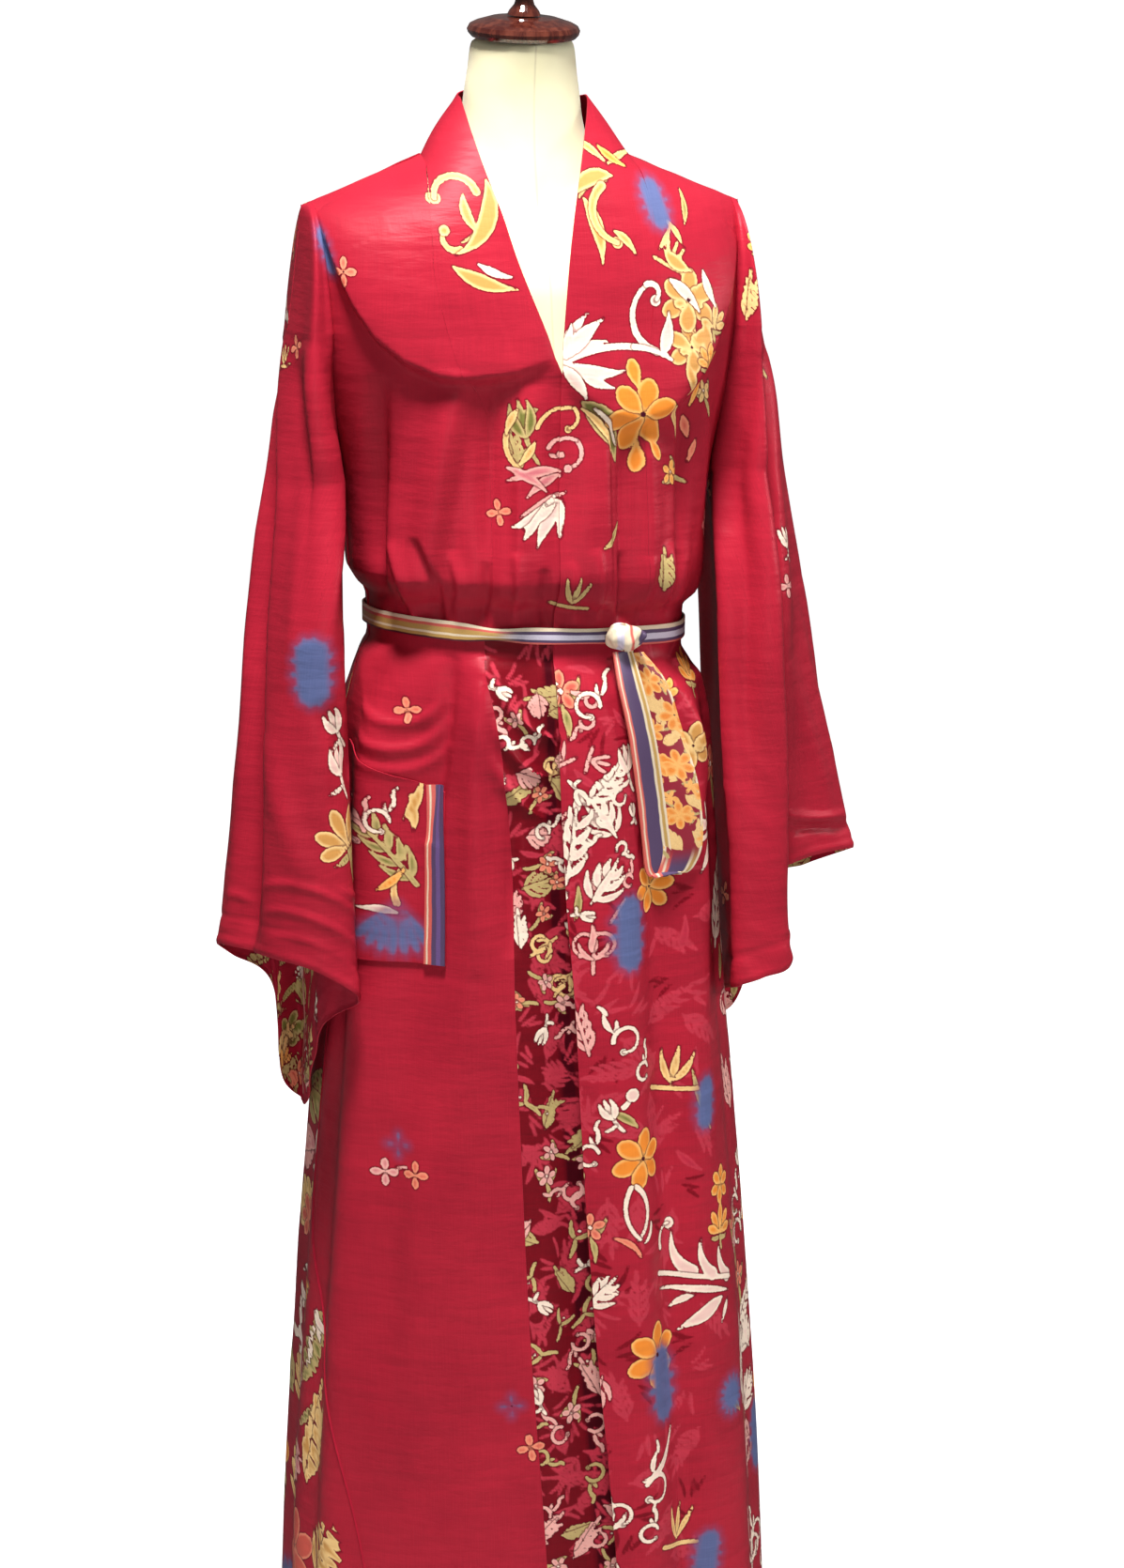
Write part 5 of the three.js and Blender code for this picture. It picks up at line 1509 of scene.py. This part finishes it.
def make_form():
    """The padded body of the dress form: its solid with the edges rounded away."""
    body = bpy.data.objects.new("form_body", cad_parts["form_torso"].data.copy())
    bpy.context.scene.collection.objects.link(body)
    bpy.ops.object.select_all(action="DESELECT")
    body.select_set(True)
    bpy.context.view_layer.objects.active = body
    bpy.ops.object.mode_set(mode="EDIT")
    bpy.ops.mesh.select_all(action="SELECT")
    bpy.ops.mesh.remove_doubles(threshold=0.00002)
    bpy.ops.object.mode_set(mode="OBJECT")
    remesh = body.modifiers.new("remesh", "REMESH")
    remesh.mode, remesh.voxel_size = "VOXEL", 0.005
    smooth = body.modifiers.new("smooth", "SMOOTH")
    smooth.factor, smooth.iterations = 0.6, 16
    for modifier in (remesh, smooth):
        bpy.ops.object.modifier_apply(modifier=modifier.name)
    bpy.ops.object.shade_smooth()
    return body


form = make_form()

# ------------------------------------------------------------------------------
# Materials


class Finish:
    """A material, with short words for making its nodes."""

    def __init__(self, name, roughness):
        self.material = bpy.data.materials.new(name)
        self.material.use_nodes = True
        self.tree = self.material.node_tree
        self.shader = self.tree.nodes["Principled BSDF"]
        self.give("Roughness", roughness)

    def put(self, source, target):
        if isinstance(source, bpy.types.NodeSocket):
            self.tree.links.new(source, target)
        else:
            target.default_value = source

    def give(self, name, source):
        self.put(source, self.shader.inputs[name])

    def make(self, kind, inputs=(), **settings):
        node = self.tree.nodes.new(kind)
        for key, value in settings.items():
            setattr(node, key, value)
        for name, source in inputs:
            self.put(source, node.inputs[name])
        return node

    def calc(self, operation, *values):
        return self.make("ShaderNodeMath", enumerate(values), operation=operation).outputs[0]

    def plus(self, first, second):
        return self.calc("ADD", first, second)

    def times(self, first, second):
        return self.calc("MULTIPLY", first, second)

    def step(self, value, low, high):
        """0 below low, 1 above high, smooth between them."""
        inputs = (("Value", value), ("From Min", low), ("From Max", high))
        return self.make("ShaderNodeMapRange", inputs, interpolation_type="SMOOTHSTEP").outputs[0]

    def blend(self, share, first, second, kind="MIX"):
        inputs = ((0, share), (6, first), (7, second))
        return self.make("ShaderNodeMix", inputs, data_type="RGBA", blend_type=kind).outputs[2]

    def layer(self, name):
        """How far inside a printed layer the surface is."""
        return self.make("ShaderNodeAttribute", attribute_type="GEOMETRY", attribute_name=name).outputs["Fac"]

    def noise(self, vector, scale, detail=3.0, rough=0.5):
        inputs = (("Vector", vector), ("Scale", scale), ("Detail", detail), ("Roughness", rough))
        return self.make("ShaderNodeTexNoise", inputs).outputs["Fac"]

    def stretched(self, vector, scale):
        return self.make("ShaderNodeMapping", (("Vector", vector), ("Scale", scale))).outputs["Vector"]

    def flat(self):
        """Places on the flat cloth."""
        return self.make("ShaderNodeUVMap", uv_map="cut").outputs[0]

    def place(self):
        return self.make("ShaderNodeTexCoord").outputs["Object"]

    def split(self, vector):
        return self.make("ShaderNodeSeparateXYZ", ((0, vector),)).outputs

    def bump(self, height, strength, distance):
        inputs = (("Height", height), ("Strength", strength), ("Distance", distance))
        self.give("Normal", self.make("ShaderNodeBump", inputs).outputs[0])


INKS = {  # edge and middle colour of each printed colour, and how soft its edge is in millimetres
    # plum is printed in small brush strokes, and is also the right band's ground below the sash, partly
    # painted shade there
    "plum": ((0.20, 0.004, 0.012), (0.17, 0.004, 0.010), 0.8),
    # painted_shadow is no printed colour but the painted shadow of the left front's free edge on the right
    # band
    "painted_shadow": ((0.10, 0.003, 0.008), (0.055, 0.002, 0.006), 3.0),
    "rose": ((0.50, 0.035, 0.06), (0.42, 0.02, 0.045), 1.0),
    "olive": ((0.56, 0.42, 0.17), (0.17, 0.17, 0.04), 0.4),
    "gold": ((0.88, 0.58, 0.24), (0.62, 0.30, 0.08), 0.4),
    "orange": ((0.92, 0.46, 0.13), (0.84, 0.25, 0.03), 0.4),
    "coral": ((0.84, 0.27, 0.16), (0.64, 0.10, 0.07), 0.4),
    "pink": ((0.85, 0.42, 0.36), (0.66, 0.18, 0.20), 0.4),
    "cream": ((0.93, 0.76, 0.60), (0.86, 0.56, 0.48), 0.4),
    "blue": ((0.22, 0.05, 0.12), (0.10, 0.13, 0.28), 7.0),
    "ink": ((0.06, 0.005, 0.015), (0.04, 0.004, 0.012), 0.4),
}
OUTLINE = (0.09, 0.003, 0.01, 1)


def silk(name, ground, shade, roughness=0.42, gloss=0.2):
    """Satin sari silk with its printed pattern, streaked a little along the thread."""
    finish = Finish(name, roughness)
    flat = finish.flat()
    cloudy = finish.noise(flat, 7.0, 4.0, 0.6)
    thread = finish.noise(finish.stretched(flat, (900.0, 30.0, 1.0)), 1.0, 2.0)
    speck = finish.noise(flat, 420.0, 2.0)
    crinkle = finish.noise(finish.stretched(flat, (16.0, 70.0, 1.0)), 1.0, 4.0)
    colour = finish.blend(finish.step(cloudy, 0.3, 0.7), (*ground, 1), (*shade, 1))
    for layer in LAYERS:
        field = finish.layer(layer)
        worn = finish.plus(field, finish.times(finish.calc("SUBTRACT", speck, 0.5), 1.4))
        ink = layer.removesuffix("_over")
        edge, middle, soft = INKS[ink]
        inked = finish.blend(finish.step(field, EDGE + 0.4, EDGE + 3.6), (*edge, 1), (*middle, 1))
        if ink in DOUBLE:
            outline = finish.times(finish.step(field, EDGE - 1.9, EDGE - 0.4), 0.7)
            colour = finish.blend(outline, colour, OUTLINE)
        colour = finish.blend(finish.step(worn, EDGE - soft, EDGE + soft), colour, inked)
    streaks = finish.times(finish.step(thread, 0.3, 0.8), 0.16)
    finish.give("Base Color", finish.blend(streaks, colour, (1, 0.75, 0.75, 1), "SOFT_LIGHT"))
    finish.give("Anisotropic", 0.5)
    finish.give("Specular IOR Level", gloss)
    finish.give("Specular Tint", (1.0, 0.5, 0.52, 1))
    finish.give("Tangent", finish.make("ShaderNodeTangent", direction_type="UV_MAP", uv_map="cut").outputs[0])
    relief = finish.plus(finish.times(cloudy, 2.0), finish.times(crinkle, 16.0))
    finish.bump(finish.plus(thread, relief), 0.14, 0.0006)
    return finish.material


def striped(name, stripes, along_x, width, second=None, change=(0.0, 0.0)):
    """Striped silk finish. stripes are the share of the width where each starts, and its colour. A second
    set takes over along the tape between two places."""
    finish = Finish(name, 0.42)
    flat = finish.flat()
    x, y, _ = finish.split(flat)
    over, along = (x, y) if along_x else (y, x)
    share = finish.plus(finish.times(over, 1 / (width * METRE)), 0.5)
    wobble = finish.noise(finish.stretched(flat, (40.0, 40.0, 1.0)), 1.0, 2.0)
    share = finish.plus(share, finish.times(finish.calc("SUBTRACT", wobble, 0.5), 0.1))
    colours = []
    for rows in (stripes, second or stripes):
        colour = (*rows[0][1], 1)
        for start, tint in rows[1:]:
            colour = finish.blend(finish.step(share, start - 0.025, start + 0.025), colour, (*tint, 1))
        colours.append(colour)
    colour = colours[0]
    if second:
        low, high = change
        colour = finish.blend(finish.step(along, low * METRE, high * METRE), *colours)
    for layer in LAYERS:
        field = finish.layer(layer)
        edge, middle, _ = INKS[layer.removesuffix("_over")]
        inked = finish.blend(finish.step(field, EDGE + 0.4, EDGE + 3), (*edge, 1), (*middle, 1))
        colour = finish.blend(finish.step(field, EDGE - 0.3, EDGE + 0.3), colour, inked)
    thread = finish.noise(finish.stretched(flat, (900.0, 900.0, 1.0)), 1.0, 2.0)
    finish.give("Base Color", finish.blend(finish.times(thread, 0.3), colour, (0.03, 0.005, 0.01, 1)))
    finish.bump(thread, 0.25, 0.0005)
    return finish.material


def knit(name, colour, shade):
    """Stretch jersey of fine wales, with a seam down the middle of the front and back."""
    finish = Finish(name, 0.85)
    place = finish.place()
    x, _, z = finish.split(place)
    wales = finish.calc("SINE", finish.times(x, 5200.0))
    courses = finish.calc("SINE", finish.times(z, 4200.0))
    seam = finish.step(finish.calc("ABSOLUTE", x), 0.0003, 0.0013)  # 0 on it
    cloudy = finish.noise(place, 14.0, 3.0)
    fibre = finish.noise(place, 900.0, 2.0)
    tint = finish.blend(finish.step(cloudy, 0.3, 0.7), (*colour, 1), (*shade, 1))
    on_seam = finish.times(finish.calc("SUBTRACT", 1.0, seam), 0.35)
    finish.give("Base Color", finish.blend(on_seam, tint, (0.5, 0.42, 0.26, 1)))
    finish.give("Sheen Weight", 0.2)
    height = finish.plus(finish.times(wales, courses), finish.times(fibre, 2.0))
    finish.bump(finish.plus(height, finish.times(seam, 4.0)), 0.2, 0.0004)
    return finish.material


def turned_wood(name, dark, light):
    """Dark stained wood under clear varnish, with its grain upright."""
    finish = Finish(name, 0.3)
    place = finish.place()
    bent = finish.noise(place, 9.0, 3.0)
    grain = finish.noise(finish.stretched(place, (160.0, 160.0, 9.0)), 1.0, 5.0, 0.65)
    mixed = finish.plus(grain, finish.times(bent, 0.3))
    finish.give("Base Color", finish.blend(finish.step(mixed, 0.5, 0.85), (*dark, 1), (*light, 1)))
    finish.give("Roughness", finish.step(grain, 0.0, 2.4))
    finish.give("Coat Weight", 0.8)
    finish.give("Coat Roughness", 0.12)
    finish.bump(grain, 0.1, 0.0003)
    return finish.material


CORAL, PURPLE, LILAC = (0.75, 0.13, 0.10), (0.10, 0.06, 0.14), (0.72, 0.66, 0.78)
CREAM, GOLD, DARK = (0.9, 0.74, 0.52), (0.60, 0.36, 0.10), (0.1, 0.01, 0.02)
VIOLET, RED = (0.16, 0.09, 0.26), (0.3, 0.012, 0.03)
printed = silk("sari_silk", (0.42, 0.0155, 0.034), (0.34, 0.012, 0.028))
inside = silk("sari_silk_inside", (0.42, 0.014, 0.034), (0.32, 0.010, 0.028), 0.55, 0.08)
finishes = {
    "sash_ring": striped(
        "striped_sash_silk",
        [(0, CREAM), (0.18, CORAL), (0.34, GOLD), (0.62, CREAM), (0.74, GOLD), (0.9, DARK)],
        False,
        NARROW_TAPE,
        [(0, CREAM), (0.22, PURPLE), (0.42, LILAC), (0.74, PURPLE), (0.9, CORAL)],
        (-50, -24),
    ),
    "sash_loop": striped(
        "striped_bow_silk",
        [(0, CORAL), (0.1, CREAM), (0.16, CORAL), (0.24, PURPLE), (0.74, CREAM), (0.82, GOLD), (0.93, CREAM)],
        True,
        TAPE,
        [(0, CREAM), (0.06, RED), (0.94, CREAM)],
        (LOOP_TURN - 10, LOOP_TURN + 10),
    ),
    "pocket_trim": striped(
        "striped_trim_silk",
        [(0, CORAL), (0.12, CREAM), (0.2, CORAL), (0.38, PURPLE), (0.6, VIOLET), (0.8, PURPLE)],
        True,
        TRIM_WIDTH,
    ),
    "sash_knot": striped(
        "striped_knot_silk",
        [(0, CREAM), (0.3, LILAC), (0.44, CREAM), (0.6, CORAL), (0.68, CREAM), (0.86, PURPLE)],
        True,
        TAPE,
    ),
}
jersey = knit("cream_jersey", (0.92, 0.87, 0.58), (0.86, 0.80, 0.50))
wood = turned_wood("dark_wood", (0.045, 0.008, 0.006), (0.12, 0.028, 0.016))

for node, piece in pieces.items():
    piece.data.materials.append(finishes.get(node, printed))
    piece.data.materials.append(finishes.get(node, inside))
    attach(piece, "root")
    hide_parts(node)

form.data.materials.clear()
form.data.materials.append(jersey)
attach(form, "root")
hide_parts("form_torso")
for node in ("neck_cap", "neck_finial", "pole", "base"):
    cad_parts[node].data.materials.clear()
    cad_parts[node].data.materials.append(wood)

# ------------------------------------------------------------------------------
# Floor, light and camera

paper = Finish("pale_paper", 0.9)
paper.give("Base Color", (0.7, 0.7, 0.7, 1))
paper.give("Emission Color", (1, 1, 1, 1))
seen = paper.make("ShaderNodeLightPath").outputs["Is Camera Ray"]
paper.give("Emission Strength", paper.times(seen, 0.9))

bpy.ops.mesh.primitive_plane_add(size=24)
floor = bpy.context.object
floor.name = "studio_floor"
bpy.ops.mesh.primitive_plane_add(size=24, location=(0, 9, 6), rotation=(math.pi / 2, 0, 0))
wall = bpy.context.object
wall.name = "studio_wall"
for sheet in (floor, wall):
    sheet.data.materials.append(paper.material)
    sheet.visible_glossy = False  # no pale rims on the silk

world = bpy.data.worlds.new("studio")
world.use_nodes = True
sky = world.node_tree.nodes["Background"].inputs
sky["Color"].default_value = (1, 1, 1, 1)
sky["Strength"].default_value = 0.11
bpy.context.scene.world = world


def soft_light(name, place, target, size, power_watts):
    lamp = bpy.data.lights.new(name, "AREA")
    lamp.shape = "DISK"
    lamp.size = size
    lamp.energy = power_watts
    holder = bpy.data.objects.new(name, lamp)
    holder.location = place
    holder.rotation_euler = (Vector(target) - Vector(place)).to_track_quat("-Z", "Y").to_euler()
    bpy.context.scene.collection.objects.link(holder)


soft_light("key", (-0.35, -1.0, 3.9), (0, 0, 1.3), 0.7, 198)
soft_light("fill", (-0.7, -3.5, 1.3), (0, 0, 0.9), 1.2, 15)
soft_light("side", (2.8, -0.8, 1.8), (0.25, 0, 0.95), 0.6, 28)

bpy.context.scene.view_settings.view_transform = "Standard"

camera_data = bpy.data.cameras.new("camera")
camera_data.sensor_fit = "VERTICAL"
camera_data.sensor_height = 36
camera_data.lens = 87.1
camera = bpy.data.objects.new("camera", camera_data)
camera.location = (-0.846, -3.293, 1.598)
camera.rotation_euler = Euler((math.radians(78.5), 0, math.radians(-15)))
bpy.context.scene.collection.objects.link(camera)
bpy.context.scene.camera = camera
